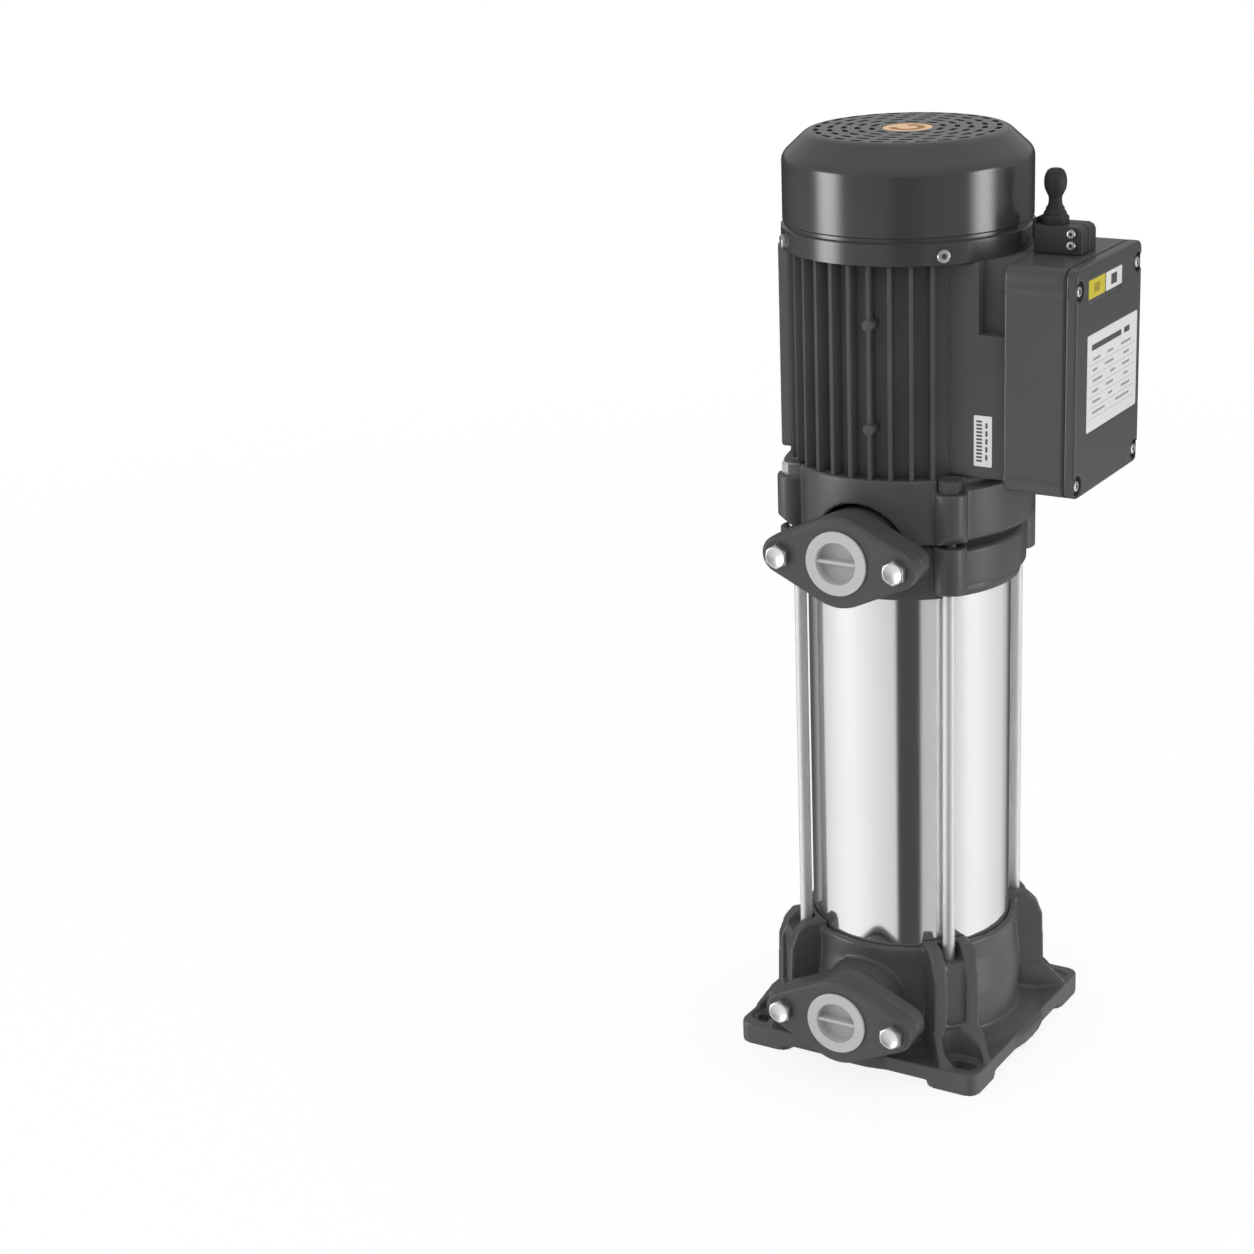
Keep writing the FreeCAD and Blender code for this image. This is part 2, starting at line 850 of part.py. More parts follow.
def make_tie_rods():
    place = polar(S.rod_circle, S.diagonal)
    washer_top = S.nut_well_depth
    nut_top = washer_top - S.washer_thick
    rod_low = nut_top - S.nut_height - S.rod_tail
    rods = body("tie_rods")
    pad(circle(sketch(rods, "XY", rod_low), *place, S.rod_radius),
        S.head_bottom + S.rod_engage - rod_low)
    around(rods, 4)
    washers = body("tie_rod_washers")
    face = sketch(washers, "XY", nut_top)
    circle(face, *place, S.washer_radius)
    circle(face, *place, S.rod_radius + S.hole_gap)
    pad(face, S.washer_thick)
    around(washers, 4)
    nuts = body("tie_rod_nuts")
    face = sketch(nuts, "XY", nut_top - S.nut_height)
    hexagon(face, *place, S.nut_across)
    circle(face, *place, S.rod_radius + S.slip_gap)
    pad(face, S.nut_height)
    around(nuts, 4)


# Flanges, gaskets, bolts and plugs of the two ports

def make_port(name, height, front):
    back = front - S.flange_thick
    seat = back - S.port_gasket
    flange = body(name + "_flange")
    plate = sketch(flange, "XZ", back)
    oval(plate, height)
    pad(plate, S.flange_thick)
    rounded(flange, S.flange_bevel, lambda edge: facing(edge, front), "Chamfer")
    holes = sketch(flange, "XZ", front)
    circle(holes, 0, height, S.port_thread_radius)
    for x in (S.flange_bolt_offset, -S.flange_bolt_offset):
        circle(holes, x, height, S.port_bolt_radius + S.hole_gap)
    pocket(holes, S.flange_thick)

    gasket = body(name + "_gasket")
    ring = sketch(gasket, "XZ", seat)
    circle(ring, 0, height, S.port_thread_radius + S.port_gasket_lip)
    circle(ring, 0, height, S.port_thread_radius)
    pad(ring, S.port_gasket)

    bolts = body(name + "_flange_bolts")
    shank = sketch(bolts, "XZ", seat - S.port_bolt_engage)
    circle(shank, -S.flange_bolt_offset, height, S.port_bolt_radius)
    pad(shank, S.port_bolt_engage + S.port_gasket + S.flange_thick)
    head = sketch(bolts, "XZ", front)
    hexagon(head, -S.flange_bolt_offset, height, S.port_bolt_head)
    pad(head, S.port_bolt_head_height)
    in_line(bolts, "X", 2, 2 * S.flange_bolt_offset)

    plug = body(name + "_plug")
    shank = sketch(plug, "XZ", front - S.plug_shank_length)
    circle(shank, 0, height, S.port_thread_radius - S.run_gap)
    pad(shank, S.plug_shank_length)
    rim = sketch(plug, "XZ", front)
    circle(rim, 0, height, S.plug_rim_radius)
    pad(rim, S.plug_rim_thick)
    cup = sketch(plug, "XZ", front + S.plug_rim_thick)
    circle(cup, 0, height, S.plug_cup_radius)
    pocket(cup, S.plug_cup_depth)
    web = sketch(plug, "XZ", front + S.plug_rim_thick - S.plug_cup_depth)
    low = height - S.plug_web_thick / 2
    high = height + S.plug_web_thick / 2
    reach = S.plug_cup_radius + 0.5
    outline(web, [(-reach, low), (reach, low), (reach, high), (-reach, high)])
    pad(web, S.plug_cup_depth - S.plug_web_recess)


def facing(edge, front):
    return all(abs(corner.Point.y + front.value) < 0.01 for corner in edge.Vertexes)


def make_side_plug(label, height):
    made = body(label)
    shank = sketch(made, "XZ", -S.side_boss_reach)
    circle(shank, 0, height, S.side_plug_radius)
    pad(shank, S.side_plug_engage)
    head = sketch(made, "XZ", -S.side_boss_reach)
    hexagon(head, 0, height, S.side_plug_head)
    pad(head, S.side_plug_head_height, back=True)


# Head casting

def make_pump_head():
    made = body("pump_head")
    lathe(made, [
        (0, S.head_bottom),
        (S.head_radius, S.head_bottom),
        (S.head_radius, S.head_top - S.head_chamfer),
        (S.head_radius - S.head_chamfer, S.head_top),
        (S.head_hub_radius, S.head_top),
        (S.head_hub_radius, S.head_hub_top - 3),
        (S.head_hub_radius - 3, S.head_hub_top),
        (0, S.head_hub_top),
    ])
    lug = sketch(made, "XY", S.head_bottom)
    circle(lug, *polar(S.head_lug_circle, S.diagonal), S.head_lug_radius)
    around(made, 4, [pad(lug, S.head_height)])
    side_panels(made, S.head_bottom + 2, S.head_top - S.panel_inset, S.head_panel_radius)
    port_boss(made, S.discharge_z, S.boss_face_discharge)
    side_boss(made, S.vent_z, S.head_chamber_radius)
    shaft_hole = S.shaft_radius + 2
    seat_hole = S.shaft_radius + S.run_gap + S.seal_seat_wall + S.slip_gap
    seat_top = S.seal_seat_bottom + S.seal_seat_height
    bore(made, [
        (0, S.head_bottom - 1),
        (S.sleeve_radius + S.slip_gap, S.head_bottom - 1),
        (S.sleeve_radius + S.slip_gap, S.upper_step),
        (S.head_chamber_radius, S.upper_step),
        (S.head_chamber_radius, S.roof_bottom),
        (seat_hole, S.roof_bottom),
        (seat_hole, seat_top),
        (shaft_hole, seat_top),
        (shaft_hole, S.head_hub_top + 1),
        (0, S.head_hub_top + 1),
    ])
    port_holes(made, S.discharge_z, S.boss_face_discharge, S.head_chamber_radius)
    side_hole(made, S.vent_z, S.head_chamber_radius)
    rod_hole = sketch(made, "XY", S.head_bottom)
    circle(rod_hole, *polar(S.rod_circle, S.diagonal), S.rod_radius + S.slip_gap)
    rod_cut = pocket(rod_hole, S.rod_engage, back=True)
    bolt_hole = sketch(made, "XY", S.head_top)
    bolt_place = polar(S.bracket_lug_circle, S.diagonal)
    circle(bolt_hole, *bolt_place, S.bracket_bolt_radius + S.slip_gap)
    bolt_cut = pocket(bolt_hole, S.bracket_bolt_engage)
    around(made, 4, [rod_cut, bolt_cut])


def side_panels(owner, low, high, reach):
    """Raised curved panels on the two sides without ports."""
    panel = sketch(owner, "XZ")
    inner = S.head_radius - 3
    outline(panel, [(inner, low), (reach, low), (reach, high - 2), (reach - 2, high), (inner, high)])
    around(owner, 2, [turned(panel, S.panel_angle)])


# Stages, running from the inlet plate at the bottom to the head

def make_inlet_plate():
    made = body("inlet_plate")
    holder = S.spacer_radius + S.run_gap + S.bush_wall + S.slip_gap
    low = S.lower_step
    lathe(made, [
        (holder, low - S.bush_length + S.inlet_plate_thick),
        (holder + S.bush_holder_wall, low - S.bush_length + S.inlet_plate_thick),
        (holder + S.bush_holder_wall, low),
        (S.casing_radius, low),
        (S.casing_radius, S.stack_bottom),
        (S.casing_radius - S.inlet_rim, S.stack_bottom),
        (S.casing_radius - S.inlet_rim, low + S.inlet_plate_thick),
        (holder, low + S.inlet_plate_thick),
    ])
    window = sketch(made, "XY", low)
    circle(window, S.inlet_window_circle, 0, S.inlet_window_radius)
    around(made, S.inlet_window_count, [pocket(window, S.inlet_plate_thick, back=True)])

    bush = body("guide_bush")
    low = S.lower_step - S.bush_length + S.inlet_plate_thick
    high = low + S.bush_length
    inner = S.spacer_radius + S.run_gap
    outer = inner + S.bush_wall
    lathe(bush, [(inner, low), (outer, low), (outer, high), (inner, high)])


def make_stage_casings():
    made = body("stage_casings")
    low = S.stack_bottom
    high = low + S.stage_pitch - S.seat_gap
    inner = S.casing_radius - S.casing_wall
    eye = S.eye_radius + S.run_gap
    lathe(made, [
        (eye, low),
        (S.casing_radius, low),
        (S.casing_radius, high),
        (inner, high),
        (inner, low + S.casing_floor),
        (eye, low + S.casing_floor),
    ])
    in_line(made, "Z", S.stage_count, S.stage_pitch)


def make_impellers():
    made = body("impellers")
    low = S.hub_bottom
    front = S.stack_bottom + S.shroud_lift
    inner_front = front + S.shroud_thick
    inner_back = inner_front + S.blade_height
    back = inner_back + S.shroud_thick
    bore_radius = S.shaft_radius + S.slip_gap
    lathe(made, [
        (bore_radius, low),
        (S.hub_radius, low),
        (S.hub_radius, inner_back),
        (S.impeller_radius, inner_back),
        (S.impeller_radius, back),
        (S.hub_radius, back),
        (S.hub_radius, low + S.hub_length),
        (bore_radius, low + S.hub_length),
    ])
    eye = S.eye_radius - S.eye_wall
    blade = sketch(made, "XY", inner_front)
    reach = S.impeller_radius - 1
    outline(blade, [
        (S.hub_radius - 1, 0),
        (reach - 12, S.blade_lean),
        (reach * cosine(25), reach * sine(25)),
        (reach * cosine(25) - S.blade_thick, reach * sine(25) + S.blade_thick),
        (reach - 12 - S.blade_thick, S.blade_lean + S.blade_thick),
        (S.hub_radius - 1, S.blade_thick + 0.3),
    ])
    around(made, S.blade_count, [pad(blade, S.blade_height)])
    lathe(made, [
        (eye, S.stack_bottom + S.eye_lip),
        (S.eye_radius, S.stack_bottom + S.eye_lip),
        (S.eye_radius, front),
        (S.impeller_radius, front),
        (S.impeller_radius, inner_front),
        (eye, inner_front),
    ])
    in_line(made, "Z", S.stage_count, S.stage_pitch)


def make_impeller_spacers():
    made = body("impeller_spacers")
    low = S.hub_bottom + S.hub_length
    high = S.hub_bottom + S.stage_pitch
    inner = S.shaft_radius + S.slip_gap
    outer = S.spacer_radius
    lathe(made, [(inner, low), (outer, low), (outer, high), (inner, high)])
    in_line(made, "Z", S.stage_count - 1, S.stage_pitch)

    top = body("seal_spacer")
    low = S.hub_bottom + (S.stage_count - 1) * S.stage_pitch + S.hub_length
    high = S.spring_bottom
    lathe(top, [(inner, low), (outer, low), (outer, high), (inner, high)])

    bottom = body("bush_spacer")
    low = S.shaft_tip + S.shaft_nut_height + 3
    high = S.hub_bottom
    lathe(bottom, [(inner, low), (outer, low), (outer, high), (inner, high)])


def make_diffusers():
    made = body("diffusers")
    low = S.stack_bottom + S.diffuser_lift
    high = S.stack_bottom + S.stage_pitch - S.seat_gap
    hole = S.spacer_radius + S.run_gap
    top = low + S.diffuser_plate
    lathe(made, [(hole, low), (S.diffuser_radius, low), (S.diffuser_radius, top), (hole, top)])
    vane = sketch(made, "XY", low)
    outer = S.casing_radius - S.casing_wall - S.slip_gap
    outline(vane, [
        (S.vane_inner, 0),
        (S.diffuser_radius - 8, -6),
        (outer - 1, 2),
        (outer - 1, 2 + S.vane_thick),
        (S.diffuser_radius - 8, S.vane_thick - 6),
        (S.vane_inner, S.vane_thick),
    ])
    around(made, S.vane_count, [pad(vane, high - low)])
    in_line(made, "Z", S.stage_count, S.stage_pitch)


# Shaft, seal and bearings

def make_shaft():
    made = body("shaft")
    front_top = S.front_bearing_bottom + S.front_width
    lathe(made, [
        (0, S.shaft_tip),
        (S.shaft_radius - 1, S.shaft_tip),
        (S.shaft_radius, S.shaft_tip + 1),
        (S.shaft_radius, S.front_bearing_bottom - 3),
        (S.front_bore, S.front_bearing_bottom - 3),
        (S.front_bore, front_top),
        (S.core_seat_radius, front_top),
        (S.core_seat_radius, S.rear_bearing_bottom),
        (S.rear_bore, S.rear_bearing_bottom),
        (S.rear_bore, S.rear_bearing_top + 2),
        (S.fan_seat_radius, S.rear_bearing_top + 2),
        (S.fan_seat_radius, S.rear_bearing_top + 2 + S.fan_seat_length),
        (0, S.rear_bearing_top + 2 + S.fan_seat_length),
    ])
    nut = body("shaft_nut")
    face = sketch(nut, "XY", S.shaft_tip + 3)
    hexagon(face, 0, 0, S.shaft_nut_across)
    circle(face, 0, 0, S.shaft_radius + S.slip_gap)
    pad(face, S.shaft_nut_height)


def make_seal():
    seat = body("seal_seat")
    low = S.seal_seat_bottom
    high = low + S.seal_seat_height
    inner = S.shaft_radius + S.run_gap
    outer = inner + S.seal_seat_wall
    lathe(seat, [(inner, low), (outer, low), (outer, high), (inner, high)])

    ring = body("seal_ring")
    low = S.seal_ring_bottom
    high = low + S.seal_ring_height
    inner = S.shaft_radius + S.slip_gap
    outer = inner + S.seal_ring_wall
    lathe(ring, [
        (inner, low),
        (outer, low),
        (outer, high - 2),
        (outer - 1.5, high - 2),
        (outer - 1.5, high),
        (inner, high),
    ])

    spring = body("seal_spring")
    wire = sketch(spring, "XZ")
    coil = S.shaft_radius + 1 + S.seal_wire
    circle(wire, coil, S.spring_bottom + S.seal_wire, S.seal_wire)
    helix = feature(spring, "AdditiveHelix", wire, "helix")
    helix.ReferenceAxis = (wire, ["V_Axis"])
    helix.Mode = "height-turns-growth"
    bind(helix, "Height", S.seal_spring_height - 2 * S.seal_wire)
    bind(helix, "Turns", S.seal_spring_turns)


def make_bearing(name, inner, outer, low, width):
    high = low + width
    middle = low + width / 2
    section = outer - inner
    ring = section * S.ring_share
    track = inner + section / 2
    ball = section * S.ball_share / 2
    outside = body(name + "_outer_ring")
    cut = track + ball + S.run_gap
    lathe(outside, [
        (outer - ring, low),
        (outer, low),
        (outer, high),
        (outer - ring, high),
        (outer - ring, middle + ball),
        (cut, middle),
        (outer - ring, middle - ball),
    ])
    inside = body(name + "_inner_ring")
    cut = track - ball - S.run_gap
    hole = inner + S.slip_gap
    lathe(inside, [
        (hole, low),
        (inner + ring, low),
        (inner + ring, middle - ball),
        (cut, middle),
        (inner + ring, middle + ball),
        (inner + ring, high),
        (hole, high),
    ])
    balls = body(name + "_balls")
    made = balls.newObject("PartDesign::AdditiveSphere", name + "_ball")
    bind(made, "Radius", ball)
    made.AttachmentSupport = [(origin_part(balls, "XY_Plane"), "")]
    made.MapMode = "FlatFace"
    bind(made, "AttachmentOffset.Base.x", track)
    bind(made, "AttachmentOffset.Base.z", middle)
    around(balls, S.ball_count)


# Bracket between the pump head and the motor

def make_bracket():
    made = body("motor_bracket")
    inner = S.bracket_radius - S.bracket_wall
    plate_low = S.bracket_top - S.bracket_plate
    hub = S.front_hub_radius
    seat = S.front_outside + S.slip_gap
    hub_low = S.front_bearing_bottom - S.bearing_lip
    spigot = S.housing_bore - S.slip_gap
    shaft_hole = S.front_outside - 6
    lathe(made, [
        (inner, S.head_top),
        (S.bracket_radius - S.bracket_chamfer, S.head_top),
        (S.bracket_radius, S.head_top + S.bracket_chamfer),
        (S.bracket_radius, S.bracket_top),
        (spigot, S.bracket_top),
        (spigot, S.bracket_top + S.spigot_height),
        (spigot - S.spigot_wall, S.bracket_top + S.spigot_height),
        (spigot - S.spigot_wall, S.bracket_top),
        (seat, S.bracket_top),
        (seat, S.front_bearing_bottom),
        (shaft_hole, S.front_bearing_bottom),
        (shaft_hole, hub_low),
        (hub, hub_low),
        (hub, plate_low),
        (inner, plate_low),
    ])
    lug = sketch(made, "XY", S.head_top)
    circle(lug, *polar(S.bracket_lug_circle, S.diagonal), S.bracket_lug_radius)
    lug_pad = pad(lug, S.bracket_height - S.bracket_lug_drop)
    around(made, 4, [lug_pad])
    reach = S.bracket_lug_circle + S.bracket_lug_radius
    low = S.head_top + S.bracket_lug_lift
    edge = S.bracket_lug_bevel
    bore(made, [
        (S.bracket_radius, S.head_top - 1),
        (reach + 1, S.head_top - 1),
        (reach + 1, low + edge),
        (reach, low + edge),
        (reach - edge, low),
        (S.bracket_radius, low),
    ])
    side_panels(made, S.head_top + S.bracket_chamfer + 1, S.bracket_top - 5, S.bracket_panel_radius)
    arch = sketch(made, "XZ", S.bracket_radius + 20)
    circle(arch, 0, S.discharge_z, S.boss_radius + S.arch_gap)
    pocket(arch, S.bracket_radius + 20 - S.head_hub_radius + 6)
    holes = sketch(made, "XY", S.bracket_top)
    circle(holes, *polar(S.bracket_lug_circle, S.diagonal), S.bracket_bolt_radius + S.hole_gap)
    hole_cut = pocket(holes, S.bracket_height)
    spot = sketch(made, "XY", S.bracket_top)
    circle(spot, *polar(S.bracket_lug_circle, S.diagonal), S.bracket_spot_radius)
    around(made, 4, [hole_cut, pocket(spot, S.bracket_lug_drop)])

    bolts = body("bracket_bolts")
    under = S.bracket_top - S.bracket_lug_drop
    place = polar(S.bracket_lug_circle, S.diagonal)
    shank_low = S.head_top - S.bracket_bolt_engage + 1
    pad(circle(sketch(bolts, "XY", shank_low), *place, S.bracket_bolt_radius), under - shank_low)
    pad(hexagon(sketch(bolts, "XY", under), *place, S.bracket_bolt_head), S.bracket_bolt_head_height)
    around(bolts, 4)


# Motor

def make_motor_housing():
    made = body("motor_housing")
    low = S.bracket_top
    high = S.housing_top
    lathe(made, [(0, low), (S.housing_root, low), (S.housing_root, high), (0, high)])
    span = (S.fin_count - 1) * S.fin_step
    for start in (S.fin_first, -(S.fin_first + span)):
        fin = sketch(made, "XZ", turn=start)
        root = S.housing_root - 2
        tip = S.fin_tip
        outline(fin, [(root, low), (tip, low), (tip, high - 1), (tip - 1, high), (root, high)])
        fin_row = around(made, S.fin_count, [pad(fin, S.fin_thick, middle=True)])
        fin_row.Mode = "Spacing"
        bind(fin_row, "Offset", S.fin_step)
    foot = sketch(made, "YZ", -S.foot_pad_reach)
    half = S.foot_pad_half_width
    rounded_box(foot, -half, half, low, high, as_size(4))
    pad(foot, S.foot_pad_reach - S.housing_bore + 8)
    pedestal = sketch(made, "YZ", S.housing_bore - 15)
    half = S.pedestal_half_width
    rounded_box(pedestal, -half, half, low, high, as_size(3))
    pad(pedestal, S.box_back - S.housing_bore + 15)
    boss_angle = S.fin_first + 3 * S.fin_step
    for height in (S.fin_boss_high, S.fin_boss_low):
        boss = sketch(made, "XZ", S.housing_root)
        circle(boss, S.fin_tip * cosine(boss_angle), height, S.fin_boss_radius)
        pad(boss, S.fin_tip + 1 - S.housing_root)
    for side in (1, -1):
        recess = sketch(made, "XZ", side * S.pedestal_half_width)
        far = S.box_back
        near = far - S.pedestal_recess_length
        top = high + 1
        bottom = high - S.pedestal_recess_height
        outline(recess, [(near, bottom), (far + 1, bottom), (far + 1, top), (near, top)])
        pocket(recess, S.pedestal_recess_depth, back=side < 0)
    bore(made, [(0, low - 1), (S.housing_bore, low - 1), (S.housing_bore, high + 1), (0, high + 1)])
    leads = sketch(made, "YZ", S.box_back)
    circle(leads, 0, wire_height(), S.wire_hole_radius)
    pocket(leads, S.box_back - S.housing_bore + 20)


def wire_height():
    return S.core_top + S.winding_height / 2 - S.wire_hole_radius * 2


def make_stator():
    core = body("stator_core")
    low = S.core_bottom
    high = S.core_top
    outer = S.housing_bore - S.slip_gap
    lathe(core, [(S.stator_bore, low), (outer, low), (outer, high), (S.stator_bore, high)])
    slot = sketch(core, "XY", low)
    circle(slot, S.stator_slot_circle, 0, S.stator_slot_radius + S.slip_gap)
    around(core, S.stator_slot_count, [pocket(slot, S.core_length, back=True)])

    coils = body("stator_windings")
    for end in (low - S.winding_height, high):
        top = end + S.winding_height
        inner = S.winding_inner
        outer = S.winding_outer
        lathe(coils, [
            (inner, end),
            (outer - 2, end),
            (outer, end + 3),
            (outer, top - 3),
            (outer - 2, top),
            (inner, top),
        ])
    wire = sketch(coils, "XY", low - 1)
    circle(wire, S.stator_slot_circle, 0, S.stator_slot_radius)
    around(coils, S.stator_slot_count, [pad(wire, S.core_length + 2)])

    rotor = body("rotor_core")
    inner = S.core_seat_radius + S.slip_gap
    outer = S.stator_bore - S.run_gap
    ring = outer - S.rotor_ring_wall
    end = S.rotor_ring_height
    lathe(rotor, [
        (inner, low),
        (ring, low),
        (ring, low - end),
        (outer - 1, low - end),
        (outer, low),
        (outer, high),
        (outer - 1, high + end),
        (ring, high + end),
        (ring, high),
        (inner, high),
    ])


def make_rear_shield():
    made = body("rear_end_shield")
    low = S.housing_top
    high = low + S.shield_plate
    rim = S.cover_skirt_radius - S.cover_wall - S.slip_gap
    rim_top = low + S.shield_rim_height
    spigot = S.housing_bore - S.slip_gap
    seat = S.rear_outside + S.slip_gap
    hub = seat + S.shield_hub_wall
    hole = S.rear_outside - 5
    lathe(made, [
        (rim, low),
        (rim, rim_top),
        (rim - S.shield_rim_wall, rim_top),
        (rim - S.shield_rim_wall, high),
        (hole, high),
        (hole, S.rear_bearing_top),
        (seat, S.rear_bearing_top),
        (seat, S.rear_bearing_bottom),
        (hub, S.rear_bearing_bottom),
        (hub, low),
        (spigot - S.spigot_wall, low),
        (spigot - S.spigot_wall, low - S.spigot_height),
        (spigot, low - S.spigot_height),
        (spigot, low),
    ])
    holes = sketch(made, "YZ", rim, turn=S.cover_screw_turn)
    circle(holes, 0, low + S.cover_screw_height, S.cover_screw_radius + S.slip_gap)
    around(made, 4, [pocket(holes, S.shield_rim_wall + 2)])


def make_fan_and_cover():
    fan = body("cooling_fan")
    low = S.housing_top + S.shield_plate + S.fan_lift
    plate_top = low + S.fan_plate_thick
    inner = S.fan_seat_radius + S.slip_gap
    lathe(fan, [
        (inner, low),
        (S.fan_plate_radius, low),
        (S.fan_plate_radius, plate_top),
        (S.fan_hub_radius + 2, plate_top),
        (S.fan_hub_radius, low + S.fan_hub_height),
        (inner, low + S.fan_hub_height),
    ])
    blade = sketch(fan, "XZ", turn=as_size(0))
    tip = low + S.fan_blade_height
    outline(blade, [
        (S.fan_blade_inner, low),
        (S.fan_plate_radius, low),
        (S.fan_plate_radius, tip - 4),
        (S.fan_plate_radius - 4, tip),
        (S.fan_blade_inner + 8, tip),
        (S.fan_blade_inner, tip - 8),
    ])
    around(fan, S.fan_blade_count, [pad(blade, S.fan_blade_thick, middle=True)])

    cover = body("fan_cover")
    base = S.housing_top
    skirt_top = base + S.skirt_height
    bead_top = skirt_top + S.bead_height
    shoulder = S.cover_top - S.cover_shoulder_drop
    lathe(cover, [
        (0, base),
        (S.cover_skirt_radius, base),
        (S.cover_skirt_radius, skirt_top),
        (S.cover_radius - S.bead_depth, skirt_top + 1),
        (S.cover_radius - S.bead_depth, bead_top - 1),
        (S.cover_radius, bead_top),
        (S.cover_radius, shoulder),
        (S.cover_face_radius, S.cover_top),
        (0, S.cover_top),
    ])
    high_edge = ring_edge(S.cover_face_radius, S.cover_top)
    low_edge = ring_edge(S.cover_radius, shoulder)
    rounded(cover, S.cover_shoulder_round, lambda edge: high_edge(edge) or low_edge(edge))
    wall = S.cover_wall
    inside = S.cover_radius - wall
    bore(cover, [
        (0, base - 1),
        (S.cover_skirt_radius - wall, base - 1),
        (S.cover_skirt_radius - wall, skirt_top - 1.5),
        (inside - S.bead_depth, skirt_top + 0.5),
        (inside - S.bead_depth, bead_top + 1),
        (inside, bead_top + 2),
        (inside, shoulder - 3),
        (inside - 4, shoulder + 3),
        (S.cover_face_radius - 1, S.cover_top - wall - 2),
        (S.cover_face_radius - 8, S.cover_top - wall),
        (0, S.cover_top - wall),
    ])
    recess = sketch(cover, "XY", S.cover_top)
    circle(recess, 0, 0, S.label_radius)
    pocket(recess, S.label_recess)
    slot_pitch = S.grille_slot_length + 4.5
    for ring in range(5):
        radius = S.grille_ring_first + ring * S.grille_ring_step
        half = S.grille_slot_length / 2 - S.grille_slot_half_width
        slot = sketch(cover, "XY", S.cover_top)
        width = S.grille_slot_half_width
        loop(slot, [(radius, -half, width), (radius, half, width)])
        copies = int(2 * math.pi * radius.value / slot_pitch.value)
        around(cover, copies, [pocket(slot, 2 * wall)])
    holes = sketch(cover, "YZ", S.cover_skirt_radius, turn=S.cover_screw_turn)
    circle(holes, 0, base + S.cover_screw_height, S.cover_screw_radius + S.hole_gap)
    around(cover, 4, [pocket(holes, 2 * wall)])

    screws = body("fan_cover_screws")
    tip = S.cover_skirt_radius - S.cover_screw_length
    shank = sketch(screws, "YZ", tip, turn=S.cover_screw_turn)
    circle(shank, 0, base + S.cover_screw_height, S.cover_screw_radius)
    pad(shank, S.cover_screw_length)
    head = sketch(screws, "YZ", S.cover_skirt_radius, turn=S.cover_screw_turn)
    circle(head, 0, base + S.cover_screw_height, S.cover_screw_head)
    pad(head, S.cover_screw_head_height)
    around(screws, 4)


# Terminal box

def lid_screw_places():
    side = S.box_half_width - S.lid_screw_inset
    high = S.box_top - S.lid_screw_drop
    low = S.box_bottom + S.lid_screw_rise
    return [(side, high), (-side, high), (side, low), (-side, low)]


def box_outline(drawing, inset):
    half = S.box_half_width - inset
    corner = S.box_corner - inset
    rounded_box(drawing, -half, half, S.box_bottom + inset, S.box_top - inset, corner)
    return drawing


def make_terminal_box():
    made = body("terminal_box")
    pad(box_outline(sketch(made, "YZ", S.box_back), 0), S.box_depth)
    pocket(box_outline(sketch(made, "YZ", S.box_front), S.box_wall), S.box_depth - S.box_floor)
    posts = sketch(made, "YZ", S.box_back)
    for place in lid_screw_places():
        circle(posts, *place, S.lid_post_radius)
    pad(posts, S.box_depth)
    holes = sketch(made, "YZ", S.box_front)
    for place in lid_screw_places():
        circle(holes, *place, S.lid_screw_radius + S.slip_gap)
    pocket(holes, S.lid_screw_length)
    leads = sketch(made, "YZ", S.box_back)
    circle(leads, 0, wire_height(), S.wire_hole_radius)
    circle(leads, S.earth_y, S.earth_z, S.earth_radius + S.slip_gap)
    pocket(leads, S.box_floor, back=True)
    entry = sketch(made, "XY", S.box_top)
    circle(entry, S.gland_x, 0, S.gland_bore)
    pocket(entry, S.box_wall + 2)

    gasket = body("box_gasket")
    ring = sketch(gasket, "YZ", S.box_front)
    box_outline(ring, 0)
    box_outline(ring, S.box_wall)
    pad(ring, S.box_gasket)


def make_terminal_cover():
    made = body("terminal_cover")
    pad(box_outline(sketch(made, "YZ", S.lid_back), 0), S.lid_thick)
    front = S.lid_front.value
    rounded(made, S.lid_bevel, lambda edge: all(abs(v.X - front) < 0.01 for v in edge.Vertexes))
    pockets = sketch(made, "YZ", S.lid_front)
    for place in lid_screw_places():
        circle(pockets, *place, S.lid_pocket_radius)
    pocket(pockets, S.lid_pocket_depth)
    holes = sketch(made, "YZ", S.lid_front)
    for place in lid_screw_places():
        circle(holes, *place, S.lid_screw_radius + S.hole_gap)
    pocket(holes, S.lid_thick)
    for left, right, low, high in label_places():
        recess = sketch(made, "YZ", S.lid_front)
        outline(recess, [(left, low), (right, low), (right, high), (left, high)])
        pocket(recess, S.label_recess)

    plate = body("rating_plate")
    left, right, low, high = label_places()[0]
    left = left + S.slip_gap
    right = right - S.slip_gap
    low = low + S.slip_gap
    high = high - S.slip_gap
    face = sketch(plate, "YZ", S.lid_front - S.label_recess)
    rounded_box(face, left, right, low, high, as_size(1.5))
    pad(face, S.label_recess - 0.1)

    screws = body("terminal_cover_screws")
    seat = S.lid_front - S.lid_pocket_depth
    shank = sketch(screws, "YZ", seat - S.lid_screw_length)
    head = sketch(screws, "YZ", seat)
    for place in lid_screw_places():
        circle(shank, *place, S.lid_screw_radius)
        circle(head, *place, S.lid_screw_head)
    pad(shank, S.lid_screw_length)
    pad(head, S.lid_screw_head_height)


def label_places():
    plate = (S.plate_left, S.plate_right, S.plate_low, S.plate_high)
    tags = (S.tag_left, S.tag_right, S.tag_low, S.tag_high)
    return [plate, tags]


